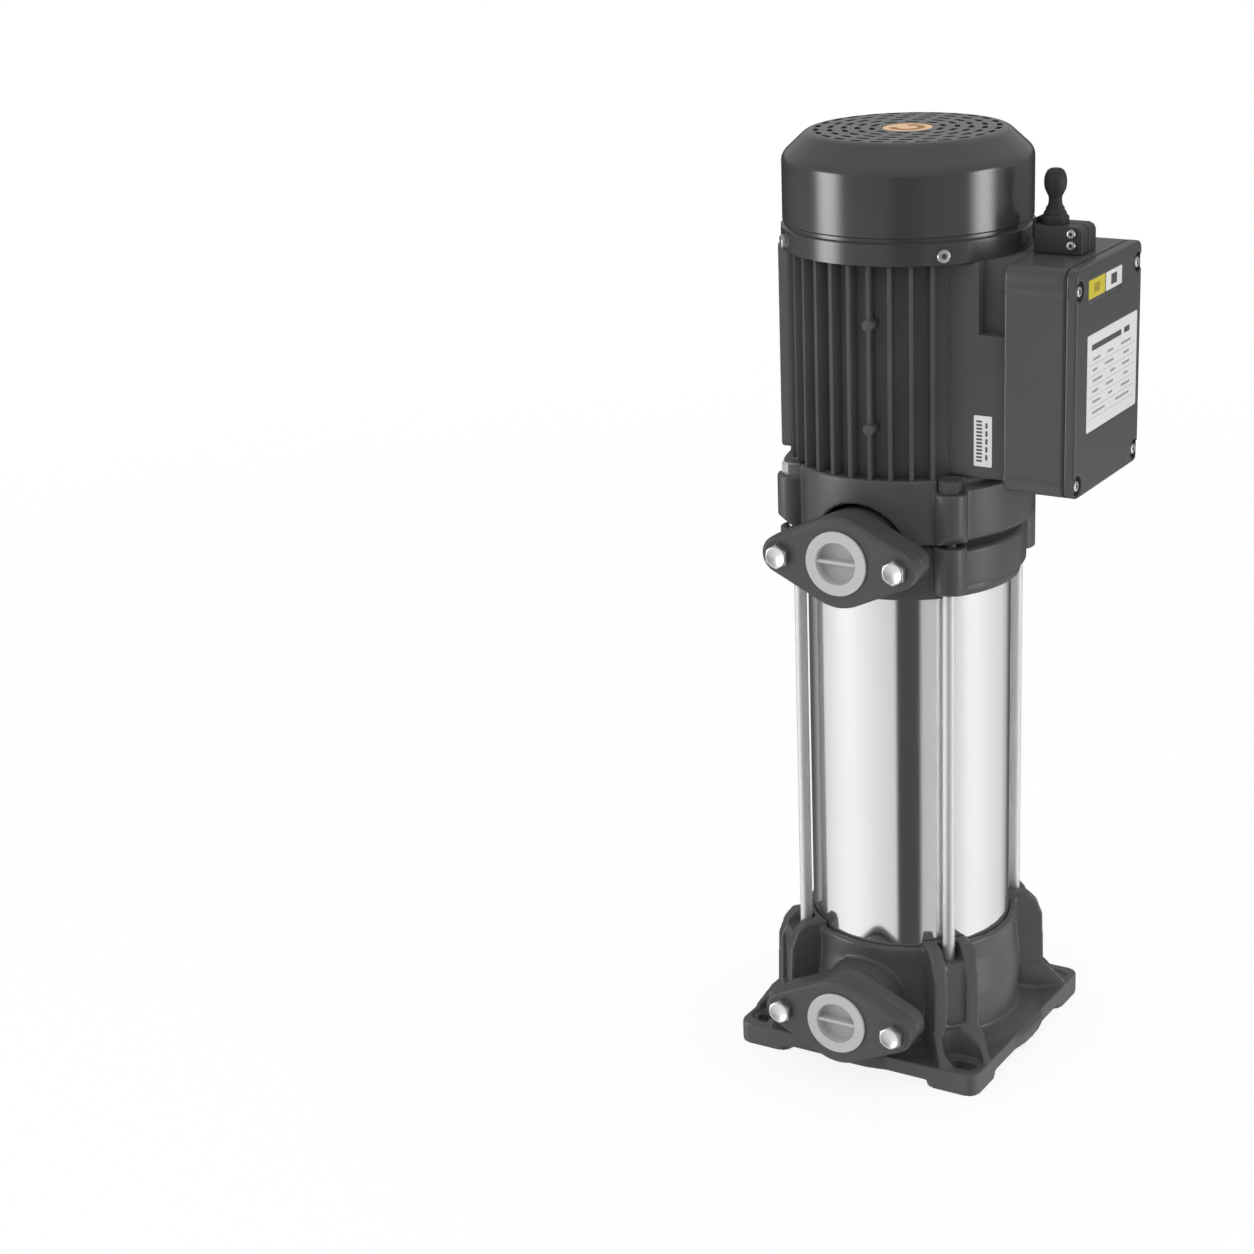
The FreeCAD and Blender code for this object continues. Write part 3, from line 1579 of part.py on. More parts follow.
def make_box_contents():
    floor = S.box_back + S.box_floor
    block = body("terminal_block")
    face = sketch(block, "YZ", floor)
    left = S.block_left
    right = S.block_right
    rounded_box(face, left, right, S.block_low, S.block_high, as_size(2))
    pad(face, S.block_depth)

    studs = body("terminal_studs")
    across = (right - left) / 4
    along = (S.block_high - S.block_low) / 6
    places = []
    for row in (1, 3, 5):
        for column in (1, 3):
            places.append((left + column * across, S.block_low + row * along))
    stud = sketch(studs, "YZ", floor + S.block_depth)
    for place in places:
        circle(stud, *place, S.stud_radius)
    pad(stud, S.stud_length)
    nut = sketch(studs, "YZ", floor + S.block_depth)
    for place in places:
        hexagon(nut, *place, 3.5 * S.stud_radius)
    pad(nut, S.stud_radius)

    x = floor + S.clip_wall + S.slip_gap + S.capacitor_radius
    can = body("capacitor")
    pad(circle(sketch(can, "XY", S.capacitor_low), x, S.capacitor_y, S.capacitor_radius),
        S.capacitor_length)
    clip = body("capacitor_clip")
    middle = S.capacitor_low + S.capacitor_length / 2
    band = sketch(clip, "XY", middle - S.clip_width / 2)
    circle(band, x, S.capacitor_y, S.capacitor_radius + S.slip_gap)
    circle(band, x, S.capacitor_y, S.capacitor_radius + S.slip_gap + S.clip_wall)
    pad(band, S.clip_width)

    earth = body("earth_screw")
    pad(circle(sketch(earth, "YZ", S.box_back + 0.5), S.earth_y, S.earth_z, S.earth_radius),
        S.box_floor - 0.5)
    pad(circle(sketch(earth, "YZ", floor), S.earth_y, S.earth_z, S.earth_head), S.earth_radius)


# Cable entry: a split clamp on top of the box that grips a closed rubber boot

def make_cable_entry():
    x = S.gland_x
    left = x - S.gland_left
    right = x + S.gland_right
    low = S.box_top
    high = low + S.gland_height
    half = S.gland_half_width
    screw_x = x + S.gland_screw_offset
    for label, side in (("cable_clamp_base", 1), ("cable_clamp_front", -1)):
        made = body(label)
        face = sketch(made, "XZ", -side * S.gland_split / 2)
        corner = S.gland_round
        outline(face, [
            (left, low),
            (right, low),
            (right, high - corner),
            (right - corner / 3, high - corner / 3),
            (right - corner, high),
            (left, high),
        ])
        pad(face, half - S.gland_split / 2, back=side > 0)
        if side > 0:
            hook = sketch(made, "XZ", S.gland_hook_half_width)
            outline(hook, [
                (left - S.gland_hook, high - 9),
                (left - S.slip_gap, high - 9),
                (left - S.slip_gap, high + S.gland_hook_rise),
                (left - S.gland_hook, high + S.gland_hook_rise - 1.5),
            ])
            pad(hook, 2 * S.gland_hook_half_width, back=True)
            root = sketch(made, "XZ", -S.gland_split)
            outline(root, [
                (left - S.gland_hook, high - 9),
                (left + 1, high - 9),
                (left + 1, high),
                (left - S.gland_hook, high),
            ])
            pad(root, S.gland_hook_half_width - S.gland_split, back=True)
        hole = sketch(made, "XY", high + 1)
        circle(hole, x, 0, S.gland_bore)
        pocket(hole, S.gland_height + 2)
        drill = sketch(made, "XZ", half)
        for height in clamp_screw_heights():
            circle(drill, screw_x, height, S.gland_screw_radius + S.slip_gap)
        pocket(drill, 2 * half)

    screws = body("cable_clamp_screws")
    shank = sketch(screws, "XZ", half - S.gland_screw_length)
    head = sketch(screws, "XZ", half)
    for height in clamp_screw_heights():
        circle(shank, screw_x, height, S.gland_screw_radius)
        circle(head, screw_x, height, S.gland_screw_head)
    pad(shank, S.gland_screw_length)
    pad(head, S.gland_screw_head_height)

    boot = body("cable_boot")
    neck_top = high + S.boot_neck_top
    knob_top = high + S.boot_knob_top
    flare_top = high + S.boot_flare_height
    neck = S.boot_neck_radius
    knob = S.boot_knob_radius
    shank_radius = S.gland_bore - S.slip_gap
    lathe(boot, [
        (0, high - S.boot_shank),
        (shank_radius, high - S.boot_shank),
        (shank_radius, high),
        (S.boot_flare_radius, high),
        (S.boot_flare_radius - 1, flare_top),
        (neck, neck_top - 3),
        (neck, neck_top - 1),
        (knob - 1, neck_top + 2),
        (knob, neck_top + 6),
        (knob, knob_top - 6),
        (knob - 1.5, knob_top - 2.2),
        (knob - 4, knob_top),
        (0, knob_top),
    ])
    boot.Placement = FreeCAD.Placement()
    bind(boot, "Placement.Base.x", x)


def clamp_screw_heights():
    low = S.box_top + S.gland_screw_low
    return [low, low + S.gland_screw_pitch]


def make_all():
    make_pump_base()
    make_sleeve()
    make_tie_rods()
    make_port("suction", S.suction_z, S.suction_face)
    make_port("discharge", S.discharge_z, S.discharge_face)
    make_side_plug("drain_plug", S.drain_z)
    make_side_plug("vent_plug", S.vent_z)
    make_pump_head()
    make_inlet_plate()
    make_stage_casings()
    make_impellers()
    make_impeller_spacers()
    make_diffusers()
    make_shaft()
    make_seal()
    section = S.front_bearing_bottom
    make_bearing("front_bearing", S.front_bore, S.front_outside, section, S.front_width)
    section = S.rear_bearing_bottom
    make_bearing("rear_bearing", S.rear_bore, S.rear_outside, section, S.rear_width)
    make_bracket()
    make_motor_housing()
    make_stator()
    make_rear_shield()
    make_fan_and_cover()
    make_terminal_box()
    make_terminal_cover()
    make_box_contents()
    make_cable_entry()


def check_and_export():
    doc.recompute()
    failed = [thing.Label for thing in doc.Objects
              if "Invalid" in thing.State or "Error" in thing.State]
    if failed:
        raise RuntimeError("failed: " + ", ".join(failed))
    os.makedirs("parts", exist_ok=True)
    for made in doc.findObjects("PartDesign::Body"):
        shape = made.Shape
        if shape.isNull() or not shape.isValid() or not shape.Solids:
            raise RuntimeError(made.Label + " has no sound shape")
        shape.exportStep("parts/%s.step" % made.Label)
        box = shape.BoundBox
        print("%-22s %2d solids %10.0f mm3  x %7.1f %7.1f  y %7.1f %7.1f  z %7.1f %7.1f" % (
            made.Label, len(shape.Solids), shape.Volume,
            box.XMin, box.XMax, box.YMin, box.YMax, box.ZMin, box.ZMax))


make_all()
check_and_export()
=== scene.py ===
import json
import math

import bmesh
import bpy
from mathutils import Matrix, Vector


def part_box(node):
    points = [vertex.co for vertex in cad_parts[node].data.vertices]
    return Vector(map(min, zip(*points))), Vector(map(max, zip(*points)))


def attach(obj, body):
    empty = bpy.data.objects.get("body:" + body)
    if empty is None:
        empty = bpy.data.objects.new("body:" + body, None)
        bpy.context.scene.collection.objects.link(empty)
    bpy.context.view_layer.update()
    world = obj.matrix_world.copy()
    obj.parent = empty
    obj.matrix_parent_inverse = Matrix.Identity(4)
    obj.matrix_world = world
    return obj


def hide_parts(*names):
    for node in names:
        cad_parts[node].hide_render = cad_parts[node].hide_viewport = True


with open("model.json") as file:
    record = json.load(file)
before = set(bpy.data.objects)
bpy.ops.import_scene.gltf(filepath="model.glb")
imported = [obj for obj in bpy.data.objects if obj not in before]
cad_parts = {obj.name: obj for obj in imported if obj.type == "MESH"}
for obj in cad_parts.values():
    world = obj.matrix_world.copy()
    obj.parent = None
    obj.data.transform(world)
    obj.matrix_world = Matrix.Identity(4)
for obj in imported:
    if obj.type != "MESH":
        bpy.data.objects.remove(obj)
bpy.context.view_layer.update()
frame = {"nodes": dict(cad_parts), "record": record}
NODES = frame["nodes"]
MM = 0.001
TURN = 2 * math.pi


# Camera, background and light; lengths in metres

CAMERA_PLACE = (0.7251, -1.5012, 0.8683)
CAMERA_RIGHT = Vector((0.84666, 0.53213, 0.0))
CAMERA_BACK = Vector((0.50250, -0.79950, 0.32900))
CAMERA_ROLL = math.radians(-2.37)
CAMERA_LENS = 77.07         # in mm, as is the sensor's width
SENSOR_WIDTH = 36


def make_camera():
    back = CAMERA_BACK.normalized()
    up = back.cross(CAMERA_RIGHT).normalized()
    right = CAMERA_RIGHT * math.cos(CAMERA_ROLL) + up * math.sin(CAMERA_ROLL)
    up = back.cross(right)
    data = bpy.data.cameras.new("camera")
    data.lens = CAMERA_LENS
    data.sensor_width = SENSOR_WIDTH
    camera = bpy.data.objects.new("camera", data)
    bpy.context.scene.collection.objects.link(camera)
    turn = Matrix((right, up, back)).transposed()
    camera.matrix_world = Matrix.Translation(CAMERA_PLACE) @ turn.to_4x4()
    bpy.context.scene.camera = camera


class Nodes:
    """Short way to add and link shader nodes in one tree."""

    def __init__(self, tree):
        self.tree = tree
        tree.nodes.clear()

    def add(self, kind, values=None, **settings):
        node = self.tree.nodes.new("ShaderNode" + kind)
        for name, value in settings.items():
            setattr(node, name, value)
        for name, value in (values or {}).items():
            if isinstance(value, bpy.types.NodeSocket):
                self.tree.links.new(value, node.inputs[name])
            else:
                node.inputs[name].default_value = value
        return node

    def math(self, operation, *values):
        return self.add("Math", dict(enumerate(values)), operation=operation).outputs[0]

    def span(self, value, start, end, low=0.0, high=1.0, kind="SMOOTHSTEP"):
        """A number that goes from low to high while value goes from start to end."""
        return self.add("MapRange", {
            "Value": value, "From Min": start, "From Max": end, "To Min": low, "To Max": high,
        }, interpolation_type=kind).outputs["Result"]

    def ramp(self, factor, stops):
        """A colour by factor, from pairs of place and colour."""
        node = self.add("ValToRGB", {"Fac": factor})
        elements = node.color_ramp.elements
        while len(elements) < len(stops):
            elements.new(0.5)
        for element, (place, colour) in zip(elements, stops):
            element.position = place
            element.color = (*colour, 1)
        return node.outputs["Color"]

    def blend(self, factor, first, second):
        """One colour over another."""
        return self.add("Mix", {"Factor": factor, "A": first, "B": second},
                        data_type="RGBA").outputs["Result"]

    def choose(self, factor, first, second):
        """One shader or the other, as shader nodes."""
        return self.add("MixShader", {0: factor, 1: first.outputs[0], 2: second.outputs[0]})


def grey(value):
    return (value, value, value)


# The studio round the pump, by direction from the camera's side: degrees, then brightness.
STUDIO_FRONT = math.radians(-64.2)
STUDIO = [
    (-180, 0.10), (-150, 0.10), (-134, 0.33), (-122, 0.66), (-109, 0.80), (-94, 0.92),
    (-82, 0.99), (-70, 1.0), (-58, 0.95), (-48, 0.88), (-38, 0.81), (-28, 0.75), (-17, 0.69),
    (-14, 0.068), (10, 0.068), (13.5, 0.54), (30, 0.58), (34, 0.66), (58, 0.80), (70, 0.97),
    (82, 0.99), (94, 0.93), (109, 0.83), (128, 0.74), (140, 0.5), (152, 0.10), (180, 0.10),
]
# Heights in the studio are sines of the angle up.
WALL_EDGE = (-0.30, -0.26)  # from where the walls dim, to where they have
WALL_LEVEL = 0.40           # brightness of the walls from there up, against below it
CEILING_EDGE = (-0.02, 0.12)
CEILING = 0.40
SOFTBOXES = ((-77, 11), (72, 10))   # degrees: middle, then half the width
SOFTBOX_STRENGTH = 7.0
SOFTBOX_BLUR = 7            # degrees
SOFTBOX_MIDDLE = -0.08
SOFTBOX_REACH = 0.20
SOFTBOX_FADE = 0.06
AMBIENT = 0.80
WHITE = (1, 1, 1, 1)


def make_world():
    world = bpy.data.worlds.new("studio")
    world.use_nodes = True
    bpy.context.scene.world = world
    make = Nodes(world.node_tree)
    direction = make.add("TexCoord").outputs["Generated"]
    turned = make.add(
        "VectorRotate", {"Vector": direction, "Angle": -STUDIO_FRONT}, rotation_type="Z_AXIS")
    parts = make.add("SeparateXYZ", {0: turned.outputs[0]})
    height = parts.outputs["Z"]
    angle = make.math("ARCTAN2", parts.outputs["Y"], parts.outputs["X"])
    share = make.math("MULTIPLY_ADD", angle, 1 / TURN, 0.5)
    walls = make.ramp(share, [(0.5 + a / 360, grey(v)) for a, v in STUDIO])
    upper = make.span(height, *WALL_EDGE, 1.0, WALL_LEVEL)
    dimmed = make.add("VectorMath", {0: walls, 1: upper}, operation="MULTIPLY").outputs[0]
    total = make.blend(make.span(height, *CEILING_EDGE), dimmed, (*grey(CEILING), 1))
    for centre, half in SOFTBOXES:
        away = make.math("ABSOLUTE", make.math("SUBTRACT", share, 0.5 + centre / 360))
        side = make.span(away, (half + SOFTBOX_BLUR) / 360, (half - SOFTBOX_BLUR) / 360)
        level = make.math("ABSOLUTE", make.math("SUBTRACT", height, SOFTBOX_MIDDLE))
        middle = make.span(level, SOFTBOX_REACH, SOFTBOX_REACH - SOFTBOX_FADE)
        glow = make.math("MULTIPLY", make.math("MULTIPLY", side, middle), SOFTBOX_STRENGTH)
        total = make.add("VectorMath", {0: total, 1: glow}, operation="ADD").outputs[0]
    path = make.add("LightPath").outputs
    mirrored = make.math("MAXIMUM", path["Is Glossy Ray"], path["Is Transmission Ray"])
    plain = make.add("Background", {"Color": (*grey(AMBIENT), 1), "Strength": 1})
    studio = make.add("Background", {"Color": total, "Strength": 1})
    white = make.add("Background", {"Color": WHITE, "Strength": 1})
    lit = make.choose(mirrored, plain, studio)
    final = make.choose(path["Is Camera Ray"], lit, white)
    make.add("OutputWorld", {"Surface": final.outputs[0]})


FLOOR_REACH = 6.0
PAPER_GRAIN = 60.0
PAPER_DARK, PAPER_LIGHT = 0.86, 0.88
FLOOR_GLOW = 0.88           # share of the floor that the camera sees as plain white, near
GLOW_EDGE = (0.5, 2.0)      # distances over which that grows to all of it
NOISE_EDGE = (0.3, 0.7)     # the part of a noise texture's range that it mostly uses


def make_floor():
    mesh = bpy.data.meshes.new("floor")
    corners = [(x * FLOOR_REACH, y * FLOOR_REACH, 0)
               for x, y in ((-1, -1), (1, -1), (1, 1), (-1, 1))]
    mesh.from_pydata(corners, [], [(0, 1, 2, 3)])
    floor = bpy.data.objects.new("floor", mesh)
    bpy.context.scene.collection.objects.link(floor)
    material = bpy.data.materials.new("floor")
    material.use_nodes = True
    make = Nodes(material.node_tree)
    path = make.add("LightPath").outputs
    place = make.add("TexCoord").outputs["Object"]
    grain = make.add("TexNoise", {"Vector": place, "Scale": PAPER_GRAIN}).outputs["Fac"]
    paper = make.ramp(grain, [*zip(NOISE_EDGE, (grey(PAPER_DARK), grey(PAPER_LIGHT)))])
    matt = make.add("BsdfDiffuse", {"Color": paper})
    glow = make.add("Emission", {"Color": WHITE, "Strength": 1.0})
    clear = make.add("BsdfTransparent")
    distance = make.add("VectorMath", {0: place}, operation="LENGTH").outputs["Value"]
    glowing = make.span(distance, *GLOW_EDGE, FLOOR_GLOW)
    seen = make.choose(make.math("MULTIPLY", path["Is Camera Ray"], glowing), matt, glow)
    final = make.choose(path["Is Glossy Ray"], seen, clear)
    make.add("OutputMaterial", {"Surface": final.outputs[0]})
    mesh.materials.append(material)


LAMP_AIM = Vector((0, 0, 0.3))
LAMPS = (                   # name, place, size, power in watts
    ("key", (-0.9, -1.6, 1.7), (1.4, 1.4), 9.0),
    ("side", (1.9, 0.1, 1.2), (1.2, 1.6), 4.5),
    ("top", (0.2, 0.3, 2.2), (1.6, 1.6), 14.0),
)


def lamp(name, place, size, power):
    data = bpy.data.lights.new(name, "AREA")
    data.shape = "RECTANGLE"
    data.size, data.size_y = size
    data.energy = power
    light = bpy.data.objects.new(name, data)
    bpy.context.scene.collection.objects.link(light)
    light.location = place
    aim = LAMP_AIM - Vector(place)
    light.rotation_euler = aim.to_track_quat("-Z", "Y").to_euler()
    light.visible_glossy = False


# Materials

WORN_EDGE = (0.52, 0.62)    # pointiness over which an edge turns paler
WORN_GAIN = 2.6             # by so much, times the finish's own share
LEAST_ROUGH = 0.02
BUMP_DEPTH = 0.0002         # in metres


def paint(name, colour, rough, **options):
    """A procedural finish: tone drift, uneven gloss, fine bump and paler edges."""
    material = bpy.data.materials.new(name)
    material.use_nodes = True
    make = Nodes(material.node_tree)
    place = make.add("TexCoord").outputs["Object"]
    stretch = options.get("stretch", (1, 1, 1))
    spread = make.add("Mapping", {"Vector": place, "Scale": stretch}).outputs[0]
    drift = make.add("TexNoise", {
        "Vector": place, "Scale": options.get("drift", 14.0), "Detail": 4.0}).outputs["Fac"]
    fine = make.add("TexNoise", {
        "Vector": spread, "Scale": options.get("grain", 900.0), "Detail": 3.0,
    }).outputs["Fac"]
    vary = options.get("vary", 0.12)
    low = [c * (1 - vary) for c in colour]
    high = [c * (1 + vary) for c in colour]
    tone = make.ramp(drift, [*zip(NOISE_EDGE, (low, high))])
    edge = options.get("edge", 0.0)
    if edge:
        pointed = make.add("NewGeometry").outputs["Pointiness"]
        worn = (*[min(1, c * WORN_GAIN) for c in colour], 1)
        tone = make.blend(make.span(pointed, *WORN_EDGE, 0.0, edge, "LINEAR"), tone, worn)
    swing = options.get("swing", 0.06)
    mixed = make.add("Mix", {"Factor": 0.5, "A": drift, "B": fine}).outputs["Result"]
    least = max(LEAST_ROUGH, rough - swing)
    gloss = make.span(mixed, *NOISE_EDGE, least, rough + swing, "LINEAR")
    bump = make.add("Bump", {
        "Height": fine, "Strength": options.get("bump", 0.15), "Distance": BUMP_DEPTH,
    }).outputs["Normal"]
    shader = make.add("BsdfPrincipled", {
        "Base Color": tone, "Roughness": gloss, "Normal": bump,
        "Metallic": options.get("metal", 0.0), "IOR": options.get("ior", 1.5),
        "Coat Weight": options.get("coat", 0.0),
        "Coat Roughness": options.get("coat_rough", 0.1),
    })
    make.add("OutputMaterial", {"Surface": shader.outputs[0]})
    return material


STREAKS = (1, 1, 0.02)      # scale of the grain along x, y and z: drawn out upwards
LAYERS = (0.02, 0.02, 1)    # and drawn out flat
FINISHES = {
    "cast_paint": paint("cast_paint", (0.061, 0.061, 0.063), 0.38, bump=0.35, grain=520.0,
                        edge=0.3, ior=1.45, coat=0.12, coat_rough=0.28),
    "motor_paint": paint("motor_paint", (0.076, 0.077, 0.078), 0.52, bump=0.2, ior=1.27),
    "cover_paint": paint("cover_paint", (0.045, 0.045, 0.046), 0.19, bump=0.03, grain=300.0,
                         swing=0.03, ior=1.62),
    "box_paint": paint("box_paint", (0.052, 0.052, 0.054), 0.34, bump=0.3, grain=1500.0,
                       vary=0.05, ior=1.6),
    "clamp_plastic": paint("clamp_plastic", (0.03, 0.03, 0.031), 0.4, bump=0.1),
    "polished_steel": paint("polished_steel", (0.88, 0.88, 0.89), 0.11, metal=1.0, vary=0.015,
                            swing=0.02, stretch=STREAKS, grain=700.0, bump=0.03),
    "rod_steel": paint("rod_steel", (0.80, 0.80, 0.81), 0.66, metal=1.0, vary=0.03,
                       stretch=STREAKS, grain=300.0, bump=0.02),
    "zinc_steel": paint("zinc_steel", (0.74, 0.74, 0.74), 0.34, metal=1.0, vary=0.06,
                        drift=90.0, bump=0.1),
    "brass": paint("brass", (0.72, 0.5, 0.2), 0.3, metal=1.0),
    "plug_plastic": paint("plug_plastic", (0.5, 0.51, 0.51), 0.4, vary=0.05, bump=0.12),
    "black_rubber": paint("black_rubber", (0.022, 0.022, 0.022), 0.62, bump=0.25),
    "stage_steel": paint("stage_steel", (0.6, 0.6, 0.61), 0.28, metal=1.0),
    "carbon": paint("carbon", (0.05, 0.05, 0.052), 0.4),
    "ceramic": paint("ceramic", (0.75, 0.74, 0.7), 0.25, vary=0.03),
    "bearing_steel": paint("bearing_steel", (0.55, 0.55, 0.56), 0.2, metal=1.0),
    "lamination_steel": paint("lamination_steel", (0.3, 0.3, 0.32), 0.45, metal=1.0,
                              stretch=LAYERS, grain=1200.0, bump=0.4),
    "copper": paint("copper", (0.62, 0.26, 0.12), 0.32, metal=1.0, bump=0.4),
    "black_plastic": paint("black_plastic", (0.03, 0.03, 0.031), 0.45),
    "label_white": paint("label_white", (0.74, 0.74, 0.73), 0.5, vary=0.03, bump=0.05),
    "capacitor_case": paint("capacitor_case", (0.7, 0.7, 0.67), 0.35, vary=0.03),
}
# A paler copy of the castings' paint for the pump base: painted light, making the base
# brighter than the other castings in the same paint.
LIT_BASE_PAINT = paint("lit_base_paint", (0.070, 0.070, 0.072), 0.38, bump=0.35, grain=520.0,
                   edge=0.3, ior=1.45, coat=0.2, coat_rough=0.28)
INK = paint("printed_ink", (0.07, 0.07, 0.075), 0.55, vary=0.1)
PALE_INK = paint("pale_ink", (0.3, 0.3, 0.31), 0.55, vary=0.1)
YELLOW = paint("tag_yellow", (0.62, 0.52, 0.03), 0.45, vary=0.04, bump=0.05)
OLIVE = paint("tag_olive", (0.36, 0.29, 0.02), 0.5, vary=0.1)
TAN = paint("sticker_tan", (0.62, 0.4, 0.24), 0.5, vary=0.06, bump=0.05)
OCHRE = paint("sticker_ochre", (0.26, 0.14, 0.04), 0.5, vary=0.08, bump=0.05)

SLOT_OF = {s["node"]: s["material_slot"] for s in frame["record"]["subparts"]}
BODY_OF = {n: b for b, names in frame["record"]["behaviour"]["bodies"].items() for n in names}


def dress_nodes():
    for name, node in NODES.items():
        node.data.materials.clear()
        node.data.materials.append(FINISHES[SLOT_OF[name]])
        node.data.polygons.foreach_set("material_index", [0] * len(node.data.polygons))


# Pieces that stand for CAD nodes

def piece(name, mesh, node, material=None, stands=True):
    """A finished mesh that rides with a node's body and, if stands, is shown for it."""
    made = bpy.data.objects.new(name, mesh)
    bpy.context.scene.collection.objects.link(made)
    slot = SLOT_OF[node]
    mesh.materials.clear()
    mesh.materials.append(material or FINISHES[slot])
    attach(made, BODY_OF[node])
    if stands:
        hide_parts(node)
    return made


WELD = 2e-6                 # in metres: points nearer than this are one


def welded_shape(node):
    """A bmesh of a node, with the seams between its faces closed."""
    shape = bmesh.new()
    shape.from_mesh(NODES[node].data)
    bmesh.ops.remove_doubles(shape, verts=shape.verts, dist=WELD)
    return shape


def as_mesh(shape, name):
    mesh = bpy.data.meshes.new(name)
    shape.to_mesh(mesh)
    shape.free()
    return mesh


def settle(made):
    """Replaces a piece's mesh by the result of its modifiers."""
    graph = bpy.context.evaluated_depsgraph_get()
    mesh = bpy.data.meshes.new_from_object(made.evaluated_get(graph))
    materials = list(made.data.materials)
    made.modifiers.clear()
    made.data = mesh
    mesh.materials.clear()
    for material in materials:
        mesh.materials.append(material)
    mesh.shade_smooth()


CASTINGS = {                # node: voxel in mm, and rounds of smoothing
    "pump_base": (1.0, 5),
    "pump_head": (0.9, 4),
    "motor_bracket": (0.9, 4),
    "suction_flange": (0.5, 5),
    "discharge_flange": (0.5, 5),
    "terminal_box": (0.7, 5),
    "terminal_cover": (0.6, 4),
    "cable_clamp_base": (0.4, 8),
    "cable_clamp_front": (0.4, 8),
    "suction_plug": (0.3, 5),
    "discharge_plug": (0.3, 5),
}
# Castings that take a paler copy of their paint, as painted light.
LIT_PAINT_COPIES = {"pump_base": LIT_BASE_PAINT}
SOFTENING = 0.5
FACES_KEPT = 0.3            # share of the faces left after thinning


def cast_form(node, voxel, rounds):
    """A node's shape with the soft edges and hollows of a sand casting."""
    mesh = as_mesh(welded_shape(node), node + "_form")
    made = piece(node + "_form", mesh, node, LIT_PAINT_COPIES.get(node))
    remesh = made.modifiers.new("even", "REMESH")
    remesh.mode = "VOXEL"
    remesh.voxel_size = voxel * MM
    remesh.use_smooth_shade = True
    soften = made.modifiers.new("soft", "SMOOTH")
    soften.factor = SOFTENING
    soften.iterations = rounds
    thin = made.modifiers.new("thin", "DECIMATE")
    thin.ratio = FACES_KEPT
    settle(made)


FLAT_ANGLE = math.radians(0.5)      # faces that turn less than this become one
BEVEL_ANGLE = math.radians(35)      # edges that turn more than this are rounded
CREASE_ANGLE = math.radians(40)     # edges that turn more than this stay sharp after that


def edged_form(node, width):
    """A node's shape with narrow rounded edges that catch the light; width in mm."""
    mesh = as_mesh(welded_shape(node), node + "_form")
    shape = bmesh.new()
    shape.from_mesh(mesh)
    bmesh.ops.dissolve_limit(shape, angle_limit=FLAT_ANGLE, verts=shape.verts,
                             edges=shape.edges)
    shape.to_mesh(mesh)
    shape.free()
    made = piece(node + "_form", mesh, node)
    bevel = made.modifiers.new("edges", "BEVEL")
    bevel.width = width * MM
    bevel.segments = 2
    bevel.limit_method = "ANGLE"
    bevel.angle_limit = BEVEL_ANGLE
    bevel.use_clamp_overlap = True
    settle(made)
    made.data.set_sharp_from_angle(angle=CREASE_ANGLE)


def shell(rings, closed_ends=True):
    """A mesh from rings of points, joined ring to ring, with the end rings filled."""
    count = len(rings[0])
    points = [p for ring in rings for p in ring]
    faces = []
    for row in range(len(rings) - 1):
        for i in range(count):
            j = (i + 1) % count
            a, b = row * count, (row + 1) * count
            faces.append((a + i, a + j, b + j, b + i))
    if closed_ends:
        faces.append(tuple(reversed(range(count))))
        faces.append(tuple(range((len(rings) - 1) * count, len(rings) * count)))
    return points, faces


def round_ring(radius, height, count):
    step = TURN / count
    return [(radius * math.cos(step * i), radius * math.sin(step * i), height)
            for i in range(count)]


LEAST_RADIUS = 0.01         # stands for zero on the axis


def lathed(profile, count):
    """A solid of revolution from (radius, height) pairs in millimetres."""
    return shell([round_ring(max(r, LEAST_RADIUS) * MM, h * MM, count) for r, h in profile])


SHARP_ANGLE = math.radians(32)


def build(name, parts):
    """One mesh from several (points, faces, matrix)."""
    points, faces = [], []
    for part_points, part_faces, place in parts:
        first = len(points)
        points += [place @ Vector(p) for p in part_points]
        faces += [tuple(first + i for i in face) for face in part_faces]
    mesh = bpy.data.meshes.new(name)
    mesh.from_pydata(points, [], faces)
    mesh.validate()
    mesh.shade_smooth()
    mesh.set_sharp_from_angle(angle=SHARP_ANGLE)
    return mesh


# Bolts and screws, in millimetres

HEX_POINTS = 48
CHAMFER = math.tan(math.radians(30))
WASHER_FACE = (0.97, 0.4)   # radius as a share of half the width across flats, and height
CHAMFER_RIM = 0.92          # the turned chamfer's inner radius, as such a share
DISH = (0.86, 0.80, 0.25)   # the hollow in the head: two such shares, and its depth


def hex_bolt(across, head, shank_radius, shank):
    """Hexagon head with a turned chamfer and a washer face, seated at height zero."""
    flat = across / 2
    corner = flat / math.cos(math.pi / 6)
    face, face_height = WASHER_FACE
    rings = [round_ring(shank_radius * MM, -shank * MM, HEX_POINTS),
             round_ring(shank_radius * MM, 0, HEX_POINTS),
             round_ring(flat * face * MM, 0, HEX_POINTS),
             round_ring(flat * face * MM, face_height * MM, HEX_POINTS)]
    drop = (corner - flat * CHAMFER_RIM) * CHAMFER
    chamfer_foot = head - drop
    levels = [face_height, face_height + 0.3, chamfer_foot, head - drop * 0.66,
              head - drop * 0.33, head]
    for level in levels:
        cone = corner - max(0.0, level - chamfer_foot) / CHAMFER
        ring = []
        for i in range(HEX_POINTS):
            angle = TURN * i / HEX_POINTS
            near = (angle + math.pi / 6) % (math.pi / 3) - math.pi / 6
            reach = min(flat / math.cos(near), cone) * MM
            ring.append((reach * math.cos(angle), reach * math.sin(angle), level * MM))
        rings.append(ring)
    rim, floor, depth = DISH
    rings.append(round_ring(flat * rim * MM, head * MM, HEX_POINTS))
    rings.append(round_ring(flat * floor * MM, (head - depth) * MM, HEX_POINTS))
    return shell(rings)


